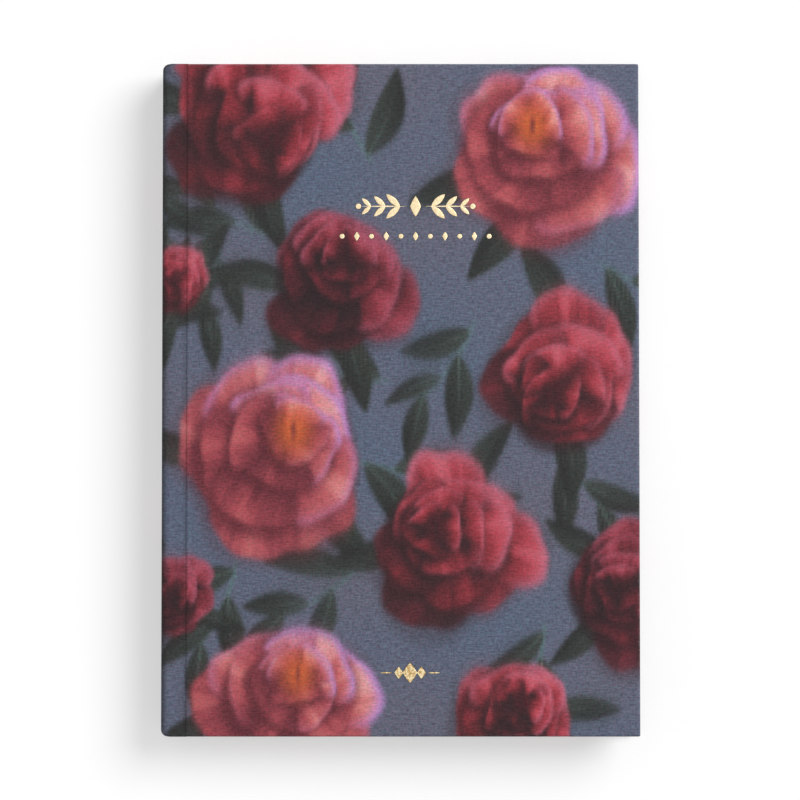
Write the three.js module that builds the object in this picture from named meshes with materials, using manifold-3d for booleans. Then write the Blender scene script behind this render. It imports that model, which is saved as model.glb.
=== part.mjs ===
// A case-bound weekly planner, lying closed on its back cover.
// Millimetres: x runs from the spine to the fore-edge, y from the tail to the head, z up.
// The origin is the middle of the planner's footprint, on the surface that it lies on.
import * as THREE from "three";
import { mergeVertices, toCreasedNormals } from "three/addons/utils/BufferGeometryUtils.js";
import Module from "manifold-3d";

const wasm = await Module();
wasm.setup();

// Driving dimensions of the case
const coverWidth = 152.5; // spine edge to fore-edge
const coverHeight = 215; // tail to head
const boardThickness = 2.4;
const spineBoardThickness = 1.4;
const clothThickness = 0.4;
const turnInWidth = 15; // cloth folded over onto the inside of a board
const jointWidth = 7.7; // spine edge to the crease beside the board
const creaseWidth = 0.5;
const creaseDepth = 0.2;
const boardSetback = 0.15; // board behind the cloth's edge at the crease
const clothEdgeRadius = 0.9; // cloth drawn round a board's edge
const clothInnerRadius = 0.3;
const spineCornerRadius = 2.2; // the soft corner at each end of the spine

// Driving dimensions of the book block
const sectionCount = 13;
const frontSectionCount = 6; // sections that open with the front half
const sectionThickness = 0.8; // eight leaves
const square = 3; // cover that stands out past the leaves
const endpaperThickness = 0.15;
const gutterDepth = 4; // from the block's back to where its leaves bend
const threadDiameter = 0.25;
const threadKnot = 0.06; // how far each stitch swells the thread, in all
const stitchRows = 4;
const kettleInset = 20; // head or tail of the leaves to the row of stitches nearest it
const mullThickness = 0.15;
const mullFlapWidth = 25;
const mullInset = 6; // mull short of the turn-ins
const liningThickness = 0.15;
const hollow = 0.3; // air between the block's lining and the spine
const bandBeadRadius = 0.7;
const bandRibs = 14;
const bandRibDepth = 0.08;
const bandTongue = 9; // the part glued behind the folds

// Fits
const layerGap = 0.05; // between sheets that lie on one another
const hingeGap = 0.05; // from a hinge line to the cloth round it
const cornerGap = 0.1; // between two cloths at a hinged corner

const weldDistance = 1e-4;
const creaseAngle = 0.6;

// Places across the planner
const spineEdge = -coverWidth / 2;
const foreEdge = coverWidth / 2;
const crease = spineEdge + jointWidth;
const clothStart = crease + creaseWidth / 2;
const boardStart = clothStart + boardSetback;
const spineTurnInFace = spineEdge + clothThickness + spineBoardThickness + 2 * layerGap;
const liningFace = spineTurnInFace + clothThickness + hollow;
const mullFace = liningFace + liningThickness + layerGap;
const threadFace = mullFace + mullThickness + layerGap;
const blockBack = threadFace + threadDiameter + layerGap;
const gutter = blockBack + gutterDepth;
const leafEdge = foreEdge - square;

// Places along the planner
const headEdge = coverHeight / 2;
const leafHead = headEdge - square;
const turnInEnd = headEdge - turnInWidth;
const mullEnd = turnInEnd - mullInset;
const kettle = leafHead - kettleInset;

// Places up from the outer face of either cover
const boardHeight = clothThickness + layerGap;
const flapHeight = boardHeight + boardThickness + layerGap;
const turnInTop = flapHeight + clothThickness;
const pastedownDip = flapHeight + mullThickness + layerGap;
const pastedownHeight = turnInTop + layerGap;
const pastedownTop = pastedownHeight + endpaperThickness;
const flyleafHeight = pastedownTop + layerGap;
const blockHeight = flyleafHeight + endpaperThickness + layerGap;
const hemTop = 2 * clothThickness;
const spineEnd = hemTop + layerGap;

const sectionPitch = sectionThickness + layerGap;
const blockThickness = sectionCount * sectionPitch - layerGap;
const thickness = 2 * blockHeight + blockThickness;

// Height above the surface of a height measured in from the outer face of a cover
const levels = {
  back: (height) => height,
  front: (height) => thickness - height,
};

// Hinge lines, each along y through a point [x, z]
const spineHinge = [spineEdge - hingeGap, -hingeGap];
const frontHalfHinge = [spineEdge - hingeGap, thickness + hingeGap];
const frontCoverHinge = [crease, thickness + hingeGap];
const flyleafHinge = [gutter - layerGap / 2, levels.front(flyleafHeight)];

const finish = (color, roughness) => new THREE.MeshStandardMaterial({ color, roughness, metalness: 0 });
const materials = {
  cloth: finish(0x626a7a, 0.85),
  board: finish(0x8b8577, 0.9),
  page: finish(0xf3efe4, 0.8),
  endpaper: finish(0xf7f4ec, 0.75),
  mull: finish(0xe6dfcb, 0.95),
  thread: finish(0xf0ece0, 0.7),
  band: finish(0x4a5670, 0.6),
};

// A closed outline through its corners, each [across, up, radius]; one with a radius is drawn as a curve.
function outline(corners) {
  const shape = new THREE.Shape();
  corners.forEach(([u, v, radius = 0], i) => {
    const corner = new THREE.Vector2(u, v);
    const [before, after] = [corners.at(i - 1), corners[(i + 1) % corners.length]].map(([x, y]) =>
      new THREE.Vector2(x, y).sub(corner).setLength(radius).add(corner),
    );
    if (i === 0) shape.moveTo(before.x, before.y);
    else shape.lineTo(before.x, before.y);
    if (radius > 0) shape.quadraticCurveTo(u, v, after.x, after.y);
  });
  shape.closePath();
  return shape;
}

// An outline swept in a straight line; place gives [x, y, z] from a point of it and the end it lies at
function swept(shape, place) {
  const geometry = new THREE.ExtrudeGeometry(shape, { depth: 1, bevelEnabled: false, curveSegments: 6 });
  const points = geometry.getAttribute("position");
  for (let i = 0; i < points.count; i += 1) {
    points.setXYZ(i, ...place(points.getX(i), points.getY(i), points.getZ(i) > 0.5));
  }
  return solidOf(geometry);
}

// An (x, y) outline raised between two heights
const raised = (shape, z0, z1) =>
  swept(shape, (x, y, far) => [x, y, far ? Math.max(z0, z1) : Math.min(z0, z1)]);

// An (x, z) outline carried along y, from reach to -reach
const alongY = (shape, reach) => swept(shape, (x, z, far) => [x, far ? -reach : reach, z]);

// A (y, z) outline carried along x
const alongX = (shape, x0, x1) => swept(shape, (y, z, far) => [far ? x1 : x0, y, z]);

const block = ([x0, x1], [y0, y1], [z0, z1]) =>
  raised(
    outline([
      [x0, y0],
      [x1, y0],
      [x1, y1],
      [x0, y1],
    ]),
    z0,
    z1,
  );

function solidOf(geometry) {
  geometry.deleteAttribute("normal");
  geometry.deleteAttribute("uv");
  const merged = mergeVertices(geometry, weldDistance);
  return new wasm.Manifold(
    new wasm.Mesh({
      numProp: 3,
      vertProperties: merged.attributes.position.array,
      triVerts: new Uint32Array(merged.index.array),
    }),
  );
}

function geometryOf(solid) {
  const { vertProperties, triVerts } = solid.getMesh();
  const geometry = new THREE.BufferGeometry();
  geometry.setAttribute("position", new THREE.BufferAttribute(vertProperties, 3));
  geometry.setIndex(new THREE.BufferAttribute(triVerts, 1));
  return toCreasedNormals(geometry, creaseAngle);
}

// Both ends of the planner, as [tail, head] ranges of y
const bothEnds = (inner, outer) => [
  [-outer, -inner],
  [inner, outer],
];

// The cloth over one board: its face, drawn round the fore-edge, head and tail, and turned in behind the board
function boardCloth(level) {
  const [outer, inner] = [level(0), level(turnInTop)];
  const across = outline([
    [clothStart, outer],
    [foreEdge, outer, clothEdgeRadius],
    [foreEdge, inner, clothInnerRadius],
    [clothStart, inner],
  ]);
  const along = outline([
    [-headEdge, outer, clothEdgeRadius],
    [headEdge, outer, clothEdgeRadius],
    [headEdge, inner, clothInnerRadius],
    [-headEdge, inner, clothInnerRadius],
  ]);
  const pocket = block(
    [crease, foreEdge - clothThickness],
    [clothThickness - headEdge, headEdge - clothThickness],
    [level(clothThickness), level(flapHeight)],
  );
  const behind = block(
    [crease, foreEdge - turnInWidth],
    [-turnInEnd, turnInEnd],
    [level(boardHeight), level(blockHeight)],
  );
  return alongY(across, headEdge).intersect(alongX(along, crease, foreEdge)).subtract(pocket).subtract(behind);
}

// The strip of cloth over the joint, hemmed at head and tail, from the spine's corner to x = end
function jointCloth(level, end) {
  const strip = outline([
    [spineEdge, level(0)],
    [end, level(0)],
    [end, level(clothThickness)],
    [spineEdge + clothThickness, level(clothThickness)],
  ]);
  const plan = outline([
    [spineEdge, -headEdge, spineCornerRadius],
    [end, -headEdge],
    [end, headEdge],
    [spineEdge, headEdge, spineCornerRadius],
  ]);
  const hems = bothEnds(turnInEnd, headEdge).map((ends) =>
    block([spineEdge + clothThickness, crease - creaseWidth / 2], ends, [level(clothThickness / 2), level(hemTop)]),
  );
  const folded = hems.reduce((cloth, hem) => cloth.add(hem), alongY(strip, headEdge));
  return folded.intersect(raised(plan, level(0), level(hemTop)));
}

// The back cover's cloth is one with its joint, and only creased there
function backCoverCloth() {
  const level = levels.back;
  const groove = outline([
    [crease - creaseWidth / 2, level(0)],
    [crease, level(creaseDepth)],
    [crease + creaseWidth / 2, level(0)],
    [crease, level(-creaseDepth)],
  ]);
  return boardCloth(level)
    .add(jointCloth(level, clothStart + clothThickness))
    .subtract(alongY(groove, coverHeight));
}

const board = (level) =>
  block(
    [boardStart, foreEdge - clothThickness - layerGap],
    [clothThickness + layerGap - headEdge, headEdge - clothThickness - layerGap],
    [level(boardHeight), level(boardHeight + boardThickness)],
  );

// The flap of mull glued under the pastedown, which holds the board to the block
const mullFlap = (level) =>
  block([boardStart, boardStart + mullFlapWidth], [-mullEnd, mullEnd], [level(flapHeight), level(flapHeight + mullThickness)]);

// The half of the endpaper pasted to the board: it lies on the turn-ins, and dips to the board between them
function pastedown(level) {
  const wall = endpaperThickness;
  const dipEdge = foreEdge - turnInWidth - layerGap;
  const dipEnd = turnInEnd - layerGap;
  const rim = block([boardStart, leafEdge], [-leafHead, leafHead], [level(pastedownHeight), level(pastedownTop)]);
  const dip = block([boardStart, dipEdge], [-dipEnd, dipEnd], [level(pastedownDip), level(pastedownTop)]);
  const recess = block(
    [crease, dipEdge - wall],
    [wall - dipEnd, dipEnd - wall],
    [level(pastedownDip + wall), level(blockHeight)],
  );
  return rim.add(dip).subtract(recess);
}

// The fold of the endpaper over the block's shoulder, glued to the first or last section
function endpaperFold(level) {
  const [outer, inner] = [level(pastedownHeight), level(flyleafHeight + endpaperThickness)];
  const end = gutter - layerGap;
  const round = Math.abs(outer - inner) / 2;
  const folded = outline([
    [blockBack, outer, round],
    [end, outer],
    [end, level(pastedownTop)],
    [blockBack + round, level(pastedownTop)],
    [blockBack + round, level(flyleafHeight)],
    [end, level(flyleafHeight)],
    [end, inner],
    [blockBack, inner, round],
  ]);
  return alongY(folded, leafHead);
}

const flyleaf = (level) =>
  block([gutter, leafEdge], [-leafHead, leafHead], [level(flyleafHeight), level(flyleafHeight + endpaperThickness)]);

// Cloth over the spine: its face meets the joints' cloth at mitred corners, and its ends turn in behind the board
function spineCloth() {
  const back = spineEdge + clothThickness;
  const inside = spineTurnInFace + clothThickness;
  const face = outline([
    [spineEdge, cornerGap],
    [back, clothThickness + cornerGap],
    [back, thickness - clothThickness - cornerGap],
    [spineEdge, thickness - cornerGap],
  ]);
  const plan = outline([
    [spineEdge, -headEdge, spineCornerRadius],
    [inside, -headEdge],
    [inside, headEdge],
    [spineEdge, headEdge, spineCornerRadius],
  ]);
  const wrap = block([spineEdge, inside], [-headEdge, headEdge], [spineEnd, thickness - spineEnd])
    .subtract(raised(spineBoardPlan(0), 0, thickness))
    .subtract(block([back, inside + layerGap], [-turnInEnd, turnInEnd], [0, thickness]));
  return alongY(face, headEdge).add(wrap).intersect(raised(plan, 0, thickness));
}

// Plan of the spine board, or of its pocket in the cloth when nothing is left clear round it
function spineBoardPlan(clear) {
  const [x0, x1] = [spineEdge + clothThickness + clear, spineTurnInFace - clear];
  const end = headEdge - clothThickness - clear;
  const round = Math.min(spineCornerRadius - clothThickness - clear, 0.9 * (x1 - x0));
  return outline([
    [x0, -end, round],
    [x1, -end],
    [x1, end],
    [x0, end, round],
  ]);
}

const spineBoard = () => raised(spineBoardPlan(layerGap), spineEnd, thickness - spineEnd);

const blockHeights = [blockHeight, blockHeight + blockThickness];

// A sheet glued over the back of the block
const backSheet = (face, sheetThickness, reach) => block([face, face + sheetThickness], [-reach, reach], blockHeights);

// Surface of revolution about an upright axis, from radii at even steps between two heights
function turned(radii, [z0, z1], x, y, sides) {
  const step = (z1 - z0) / (radii.length - 1);
  const side = radii.map((radius, i) => new THREE.Vector2(radius, z0 + i * step));
  const profile = [new THREE.Vector2(0, z0), ...side, new THREE.Vector2(0, z1)];
  return solidOf(new THREE.LatheGeometry(profile, sides).rotateX(Math.PI / 2).translate(x, y, 0));
}

// One row of link stitches up the back of the folds, with a swelling at each section
function stitches(y) {
  const stepsPerSection = 4;
  const steps = (sectionCount - 1) * stepsPerSection;
  const radii = Array.from({ length: steps + 1 }, (_, i) => {
    const turn = (i / stepsPerSection) * 2 * Math.PI;
    return threadDiameter / 2 - (threadKnot / 4) * (1 - Math.cos(turn));
  });
  const heights = [blockHeight + sectionThickness / 2, blockHeight + blockThickness - sectionThickness / 2];
  return turned(radii, heights, threadFace + threadDiameter / 2, y, 8);
}

// A head or tail band: a ribbed bead over the ends of the folds, and the tongue that holds it behind them
function endBand(end) {
  const steps = bandRibs * 2;
  const radii = Array.from({ length: steps + 1 }, (_, i) => bandBeadRadius - (i % 2 ? 0 : bandRibDepth));
  const beadY = end * (leafHead + layerGap + bandBeadRadius);
  const tongueEnds = [end * (leafHead - bandTongue), beadY].sort((a, b) => a - b);
  const tongue = block([threadFace, threadFace + threadDiameter], tongueEnds, blockHeights);
  return turned(radii, blockHeights, blockBack, beadY, 12).add(tongue);
}

// One section's two parts: the sewn fold at the back, and its leaves from the gutter to the fore-edge
function section(number) {
  const top = thickness - blockHeight - (number - 1) * sectionPitch;
  const bottom = top - sectionThickness;
  const round = sectionThickness / 2;
  const fold = outline([
    [blockBack, bottom, round],
    [gutter - layerGap, bottom],
    [gutter - layerGap, top],
    [blockBack, top, round],
  ]);
  return {
    fold: alongY(fold, leafHead),
    leaves: block([gutter, leafEdge], [-leafHead, leafHead], [bottom, top]),
  };
}

// Scene graph: each hinged part is a group whose origin lies on its hinge line
function hingedGroup(name, parent, [x, z]) {
  const group = new THREE.Group();
  group.name = name;
  group.position.set(x, 0, z);
  planner.attach(group);
  parent.attach(group);
  return group;
}

function fit(group, name, material, solid) {
  const mesh = new THREE.Mesh(geometryOf(solid), material);
  mesh.name = name;
  group.attach(mesh);
}

const planner = new THREE.Group();
const backCover = planner;
const spine = hingedGroup("spine", backCover, spineHinge);
const frontPages = hingedGroup("front_pages", spine, frontHalfHinge);
const frontFlyleaf = hingedGroup("loose_flyleaf", frontPages, flyleafHinge);
const frontCover = hingedGroup("front_cover", frontPages, frontCoverHinge);

fit(backCover, "back_cover_cloth", materials.cloth, backCoverCloth());
fit(frontPages, "front_joint_cloth", materials.cloth, jointCloth(levels.front, crease - creaseWidth / 2));
fit(frontCover, "front_cover_cloth", materials.cloth, boardCloth(levels.front));

const covers = [
  ["back", backCover, backCover, backCover],
  ["front", frontCover, frontPages, frontFlyleaf],
];
for (const [side, coverGroup, foldGroup, flyleafGroup] of covers) {
  const level = levels[side];
  fit(coverGroup, `${side}_board`, materials.board, board(level));
  fit(coverGroup, `${side}_mull_flap`, materials.mull, mullFlap(level));
  fit(coverGroup, `${side}_pastedown`, materials.endpaper, pastedown(level));
  fit(foldGroup, `${side}_endpaper_fold`, materials.endpaper, endpaperFold(level));
  fit(flyleafGroup, `${side}_flyleaf`, materials.endpaper, flyleaf(level));
}

fit(spine, "spine_cloth", materials.cloth, spineCloth());
fit(spine, "spine_board", materials.board, spineBoard());
fit(spine, "spine_lining", materials.endpaper, backSheet(liningFace, liningThickness, leafHead));
fit(spine, "spine_mull", materials.mull, backSheet(mullFace, mullThickness, mullEnd));
fit(spine, "headband", materials.band, endBand(1));
fit(spine, "tailband", materials.band, endBand(-1));
for (let row = 0; row < stitchRows; row += 1) {
  const y = THREE.MathUtils.lerp(-kettle, kettle, row / (stitchRows - 1));
  fit(spine, `sewing_thread_${row + 1}`, materials.thread, stitches(y));
}

for (let number = 1; number <= sectionCount; number += 1) {
  const label = `section_${String(number).padStart(2, "0")}`;
  const { fold, leaves } = section(number);
  fit(spine, `${label}_fold`, materials.page, fold);
  fit(number <= frontSectionCount ? frontPages : backCover, `${label}_leaves`, materials.page, leaves);
}

export default planner;
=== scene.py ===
# %% [markdown]
# # A cloth-bound weekly planner
#
# The planner is a hardcover book: two boards and a spine board, all wrapped in one sheet of printed linen,
# round a block of thirteen sewn sections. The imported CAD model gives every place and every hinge. This script
# adds what the eye sees: the cloth with its print and weave, the foil, the paper, the bands and the folds.
#
# Each new surface is worked out with numpy as whole arrays, in millimetres, and is turned into metres only
# when it goes into a mesh.

import bmesh
import bpy
import numpy as np
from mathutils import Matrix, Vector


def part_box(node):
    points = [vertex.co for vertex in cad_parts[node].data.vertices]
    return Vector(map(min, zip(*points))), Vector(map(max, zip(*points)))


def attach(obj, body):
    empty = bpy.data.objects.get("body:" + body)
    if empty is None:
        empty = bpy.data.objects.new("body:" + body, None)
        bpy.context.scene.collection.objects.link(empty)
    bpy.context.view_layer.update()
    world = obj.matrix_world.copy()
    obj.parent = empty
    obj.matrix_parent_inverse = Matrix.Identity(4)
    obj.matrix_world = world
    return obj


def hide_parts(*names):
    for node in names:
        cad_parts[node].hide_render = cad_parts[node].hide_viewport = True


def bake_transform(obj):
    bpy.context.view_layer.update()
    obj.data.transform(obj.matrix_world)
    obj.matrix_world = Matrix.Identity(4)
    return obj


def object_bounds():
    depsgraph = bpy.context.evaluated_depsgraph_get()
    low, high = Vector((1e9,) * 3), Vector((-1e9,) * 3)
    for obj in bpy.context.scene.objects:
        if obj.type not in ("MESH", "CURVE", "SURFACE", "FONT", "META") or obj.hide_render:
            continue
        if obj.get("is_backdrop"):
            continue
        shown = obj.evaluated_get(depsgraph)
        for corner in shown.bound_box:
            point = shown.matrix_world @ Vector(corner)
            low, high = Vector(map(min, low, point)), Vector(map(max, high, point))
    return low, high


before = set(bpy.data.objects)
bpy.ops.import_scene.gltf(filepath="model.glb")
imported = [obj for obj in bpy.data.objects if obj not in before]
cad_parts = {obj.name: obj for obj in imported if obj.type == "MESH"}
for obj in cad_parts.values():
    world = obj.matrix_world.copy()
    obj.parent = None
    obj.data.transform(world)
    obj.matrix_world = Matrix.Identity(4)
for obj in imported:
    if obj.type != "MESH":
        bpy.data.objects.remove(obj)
cad_box = [list(corner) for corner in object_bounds()]
MM = 0.001


def box_mm(node):
    """The lowest and highest corner of a CAD node, in millimetres."""
    return [np.array(corner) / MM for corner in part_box(node)]


back_low, back_high = box_mm("back_cover_cloth")
spine_x = back_low[0]  # the spine's edge of the cover
fore_x = back_high[0]  # its fore-edge
head_y = back_high[1]  # its head; the tail is the same distance the other way
top_z = box_mm("front_cover_cloth")[1][2]  # the closed planner's thickness
print(f"cover {fore_x - spine_x:.1f} x {2 * head_y:.1f} mm, {top_z:.1f} mm thick")

# %% [markdown]
# ## Camera
#
# The photograph looks almost straight down, through a long lens. The cover's tail is 1% wider in it than its
# head, so the camera leans towards the tail by a couple of degrees. The camera is placed by its aim, its
# distance and that lean. Turning it by hand would do as well, but named numbers are easier to correct.

# %% Camera
CAMERA_LENS = 120  # mm
CAMERA_SENSOR = 36  # mm
CAMERA_VIEW = 255.3  # mm of the cover's plane that the picture spans
CAMERA_LEAN = 2.0  # degrees from straight down, towards the tail
CAMERA_AIM = (-0.2, -0.4, top_z)

camera_data = bpy.data.cameras.new("camera")
camera_data.lens = CAMERA_LENS
camera_data.sensor_width = CAMERA_SENSOR
camera_data.clip_start = 0.05
camera = bpy.data.objects.new("camera", camera_data)
lean = np.radians(CAMERA_LEAN)
distance = CAMERA_VIEW * CAMERA_LENS / CAMERA_SENSOR
camera.location = (np.array(CAMERA_AIM) + distance * np.array([0, -np.sin(lean), np.cos(lean)])) * MM
camera.rotation_euler = (lean, 0, 0)
bpy.context.scene.collection.objects.link(camera)
bpy.context.scene.camera = camera
print(f"camera {distance:.0f} mm from the cover")

# %% [markdown]
# ## Nodes in a few words
#
# Every finish below is a small tree of nodes. These helpers add a node, join its inputs and hand back its
# output, so that a tree reads from top to bottom like a recipe. A finish is a material with such a tree.

# %% Helpers for nodes
def srgb(red, green, blue):
    """A colour as a picture gives it, 0 to 255, turned into the linear values that Blender mixes."""
    shown = np.array([red, green, blue]) / 255
    return tuple(np.where(shown <= 0.04045, shown / 12.92, ((shown + 0.055) / 1.055) ** 2.4)) + (1.0,)


def add_node(tree, kind, output=0, settings=(), **inputs):
    """Adds a node to a tree and returns one of its outputs.

    An input goes by its name, with _ for a space, or by _ and its number. What it gets is either a value or
    another node's output, which is then joined to it.
    """
    node = tree.nodes.new("ShaderNode" + kind)
    for name, value in dict(settings).items():
        setattr(node, name, value)
    for name, value in inputs.items():
        socket = node.inputs[int(name[1:]) if name[1:].isdigit() else name.replace("_", " ")]
        if isinstance(value, bpy.types.NodeSocket):
            tree.links.new(value, socket)
        else:
            socket.default_value = value
    return node.outputs[output]


# %% A finish
class Finish:
    """A new material with a Principled shader, whose plain numbers are set on the shader's own sockets."""

    def __init__(self, name, colour, **sockets):
        """The sockets' names have _ for a space."""
        self.material = bpy.data.materials.new(name)
        self.material.use_nodes = True
        self.tree = self.material.node_tree
        self.shader = self.tree.nodes["Principled BSDF"]
        self.shader.inputs["Base Color"].default_value = colour
        for socket, value in sockets.items():
            self.shader.inputs[socket.replace("_", " ")].default_value = value

    def add(self, kind, **rest):
        """Adds a node to the finish's own tree."""
        return add_node(self.tree, kind, **rest)

    def maths(self, operation, first, second=0.0, third=0.0):
        """A sum with up to three numbers. Its operation has Blender's own name."""
        return self.add("Math", settings={"operation": operation}, _0=first, _1=second, _2=third)

    def times(self, first, second):
        """One number times another."""
        return self.maths("MULTIPLY", first, second)

    def plus(self, first, second):
        """One number and another."""
        return self.maths("ADD", first, second)

    def spread(self, value, low, high, to_low=0.0, to_high=1.0):
        """Takes low to high onto to_low to to_high, and holds it there outside."""
        return self.add("MapRange", _0=value, _1=low, _2=high, _3=to_low, _4=to_high)

    def mix(self, amount, first, second):
        """A colour between two others. In its colour mode the node has them as inputs 6 and 7."""
        return self.add("Mix", output=2, settings={"data_type": "RGBA"}, _0=amount, _6=first, _7=second)

    def brighten(self, colour, amount):
        """A colour times a number."""
        return self.add("VectorMath", settings={"operation": "SCALE"}, _0=colour, Scale=amount)

    def place(self, on="Object", scale=(1, 1, 1)):
        """Where a point lies, in millimetres times scale: on its object, or on its UV map."""
        source = self.add("TexCoord", output=on)
        return self.add("Mapping", Vector=source, Scale=tuple(s / MM for s in scale))

    def axes(self, place):
        """The three numbers of a place."""
        return self.add("SeparateXYZ", _0=place).node.outputs

    def noise(self, where, detail):
        """Soft blots about as large as one unit of where, from 0 to 1. More detail roughens them."""
        return self.add("TexNoise", Vector=where, Scale=1.0, Detail=detail)

    def attribute(self, name):
        """A number that make_piece has stored on the points."""
        return self.add("Attribute", output=2, settings={"attribute_name": name})

    def colour_from(self, value):
        """Gives the shader its colour."""
        self.tree.links.new(value, self.shader.inputs["Base Color"])

    def bump(self, height, depth_mm, strength):
        """Shades the surface as if it rose by height times the depth."""
        bumped = self.add("Bump", Height=height, Strength=strength, Distance=depth_mm * MM)
        self.tree.links.new(bumped, self.shader.inputs["Normal"])


# %% [markdown]
# ## Floor and light
#
# The planner lies on white, with a soft shadow to its left and below it. One broad lamp to the upper right
# throws that shadow, and a pale sky fills it. For the camera alone the floor glows a little as well, so that
# it is white where nothing shades it and still holds the shadow. The glow gets less towards the lamp, whose
# light gets more, and further out the floor turns plain white. Turning the lamps up until the floor is white
# would bleach the cloth instead.

# %% Floor
FLOOR_SIZE = 6000  # mm
FLOOR_GAP = 0.02  # mm below the planner
FLOOR_GLOW = 0.416  # strength of its glow below the planner's middle
FLOOR_LEVEL = (0.30, 0.15)  # how much less it glows for each metre to the right and upwards
FLOOR_CATCH = 0.56  # how much light the floor throws back where the camera sees it
FLOOR_BOUNCE = 0.85  # and where it lights the planner
FLOOR_NEAR, FLOOR_FAR = 260, 620  # mm from the middle, between which the floor turns plain white


def floor_finish():
    """White that holds a shadow near the planner, for the camera alone, and plain white everywhere else."""
    white = bpy.data.materials.new("floor_white")
    white.use_nodes = True
    tree = white.node_tree
    tree.nodes.clear()
    place = add_node(tree, "TexCoord", output="Object")
    towards = add_node(tree, "VectorMath", output="Value", settings={"operation": "DOT_PRODUCT"},
                       _0=place, _1=(*FLOOR_LEVEL, 0))
    even = add_node(tree, "Math", settings={"operation": "SUBTRACT"}, _0=FLOOR_GLOW, _1=towards)
    glow = add_node(tree, "Emission", Strength=even)
    catching = add_node(tree, "BsdfDiffuse", Color=(FLOOR_CATCH,) * 3 + (1,))
    near = add_node(tree, "AddShader", _0=catching, _1=glow)
    away = add_node(tree, "VectorMath", output="Value", settings={"operation": "LENGTH"}, _0=place)
    fade = add_node(tree, "MapRange", settings={"interpolation_type": "SMOOTHSTEP"},
                    _0=away, _1=FLOOR_NEAR * MM, _2=FLOOR_FAR * MM)
    seen = add_node(tree, "MixShader", _0=fade, _1=near, _2=add_node(tree, "Emission"))
    plain = add_node(tree, "BsdfDiffuse", Color=(FLOOR_BOUNCE,) * 3 + (1,))
    by_camera = add_node(tree, "LightPath", output="Is Camera Ray")
    either = add_node(tree, "MixShader", _0=by_camera, _1=plain, _2=seen)
    tree.links.new(either, tree.nodes.new("ShaderNodeOutputMaterial").inputs["Surface"])
    return white


half = FLOOR_SIZE / 2 * MM
corners = [(-half, -half, 0), (half, -half, 0), (half, half, 0), (-half, half, 0)]
floor_mesh = bpy.data.meshes.new("floor")
floor_mesh.from_pydata(corners, [], [(0, 1, 2, 3)])
floor_mesh.materials.append(floor_finish())
floor = bpy.data.objects.new("floor", floor_mesh)
floor.location.z = -FLOOR_GAP * MM
bpy.context.scene.collection.objects.link(floor)
floor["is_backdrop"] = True
print(f"floor {FLOOR_SIZE / 1000:.0f} m wide")

# %% Lamp and sky
LAMP_PLACE = (1050, 735, 1290)  # mm
LAMP_SIZE = 1250  # mm
LAMP_POWER = 28.8  # W
SKY_STRENGTH = 0.52  # of its light; the camera and the foil see a white sky, of strength 1

lamp_data = bpy.data.lights.new("window", "AREA")
lamp_data.shape = "DISK"
lamp_data.size = LAMP_SIZE * MM
lamp_data.energy = LAMP_POWER
lamp = bpy.data.objects.new("window", lamp_data)
lamp.location = np.array(LAMP_PLACE) * MM
lamp.rotation_euler = (-lamp.location).to_track_quat("-Z", "Y").to_euler()
bpy.context.scene.collection.objects.link(lamp)

sky = bpy.data.worlds.new("sky")
sky.use_nodes = True
bpy.context.scene.world = sky
ray = add_node(sky.node_tree, "LightPath").node.outputs
looked_at = add_node(sky.node_tree, "Math", settings={"operation": "MAXIMUM"},
                     _0=ray["Is Camera Ray"], _1=ray["Is Glossy Ray"])
strength = add_node(sky.node_tree, "MapRange", _0=looked_at, To_Min=SKY_STRENGTH, To_Max=1.0)
background = sky.node_tree.nodes["Background"]
background.inputs["Color"].default_value = (1, 1, 1, 1)
sky.node_tree.links.new(strength, background.inputs["Strength"])

bpy.context.scene.view_settings.view_transform = "Standard"
print(f"lamp of {LAMP_POWER} W, sky of {SKY_STRENGTH}")

# %% [markdown]
# ## From arrays to a mesh
#
# A sheet has a face and a back. The face of the cloth carries the print, so its grid is fine. Its back lies
# against the board, so a coarser grid does there, and a zip of triangles closes the edge between the two.
# The Solidify modifier is simpler, but it would repeat the fine grid on the hidden side.

# %% Faces between the points of grids
def quads(index):
    """Four-sided faces between neighbours in a grid of point numbers."""
    return np.stack([index[:-1, :-1], index[:-1, 1:], index[1:, 1:], index[1:, :-1]], -1).reshape(-1, 4)


def grid_faces(rows, columns, first=0):
    """The quads of a grid that is numbered row by row, from first."""
    return quads(first + np.arange(rows * columns).reshape(rows, columns))


def tube_faces(rows, around, first=0):
    """The same for a grid whose rows are closed rings."""
    index = first + np.arange(rows * around).reshape(rows, around)
    return quads(np.concatenate([index, index[:, :1]], 1))


def zip_edges(fine, coarse, kept):
    """Triangles between two edges. kept says which of the fine edge's points the coarse edge repeats."""
    span = np.searchsorted(kept, np.arange(len(fine) - 1), side="right") - 1
    fans = np.stack([fine[:-1], fine[1:], coarse[span]], 1)
    joins = np.stack([fine[kept[1:]], coarse[1:], coarse[:-1]], 1)
    return np.concatenate([fans, joins])


def sheet_faces(rows, columns, kept_rows, kept_columns):
    """A closed sheet: a grid for its face, a coarser one for its back, and a zip along its four edges."""
    fine = np.arange(rows * columns).reshape(rows, columns)
    coarse = fine.size + np.arange(len(kept_rows) * len(kept_columns)).reshape(len(kept_rows), -1)
    zips = [zip_edges(fine[end], coarse[end], kept_columns) for end in (0, -1)]
    zips += [zip_edges(fine[:, end], coarse[:, end], kept_rows) for end in (0, -1)]
    return [grid_faces(rows, columns), grid_faces(*coarse.shape, fine.size), np.concatenate(zips)]


# %% What a mesh needs besides its points and faces
WELD = 1e-7  # metres between points that become one


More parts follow.
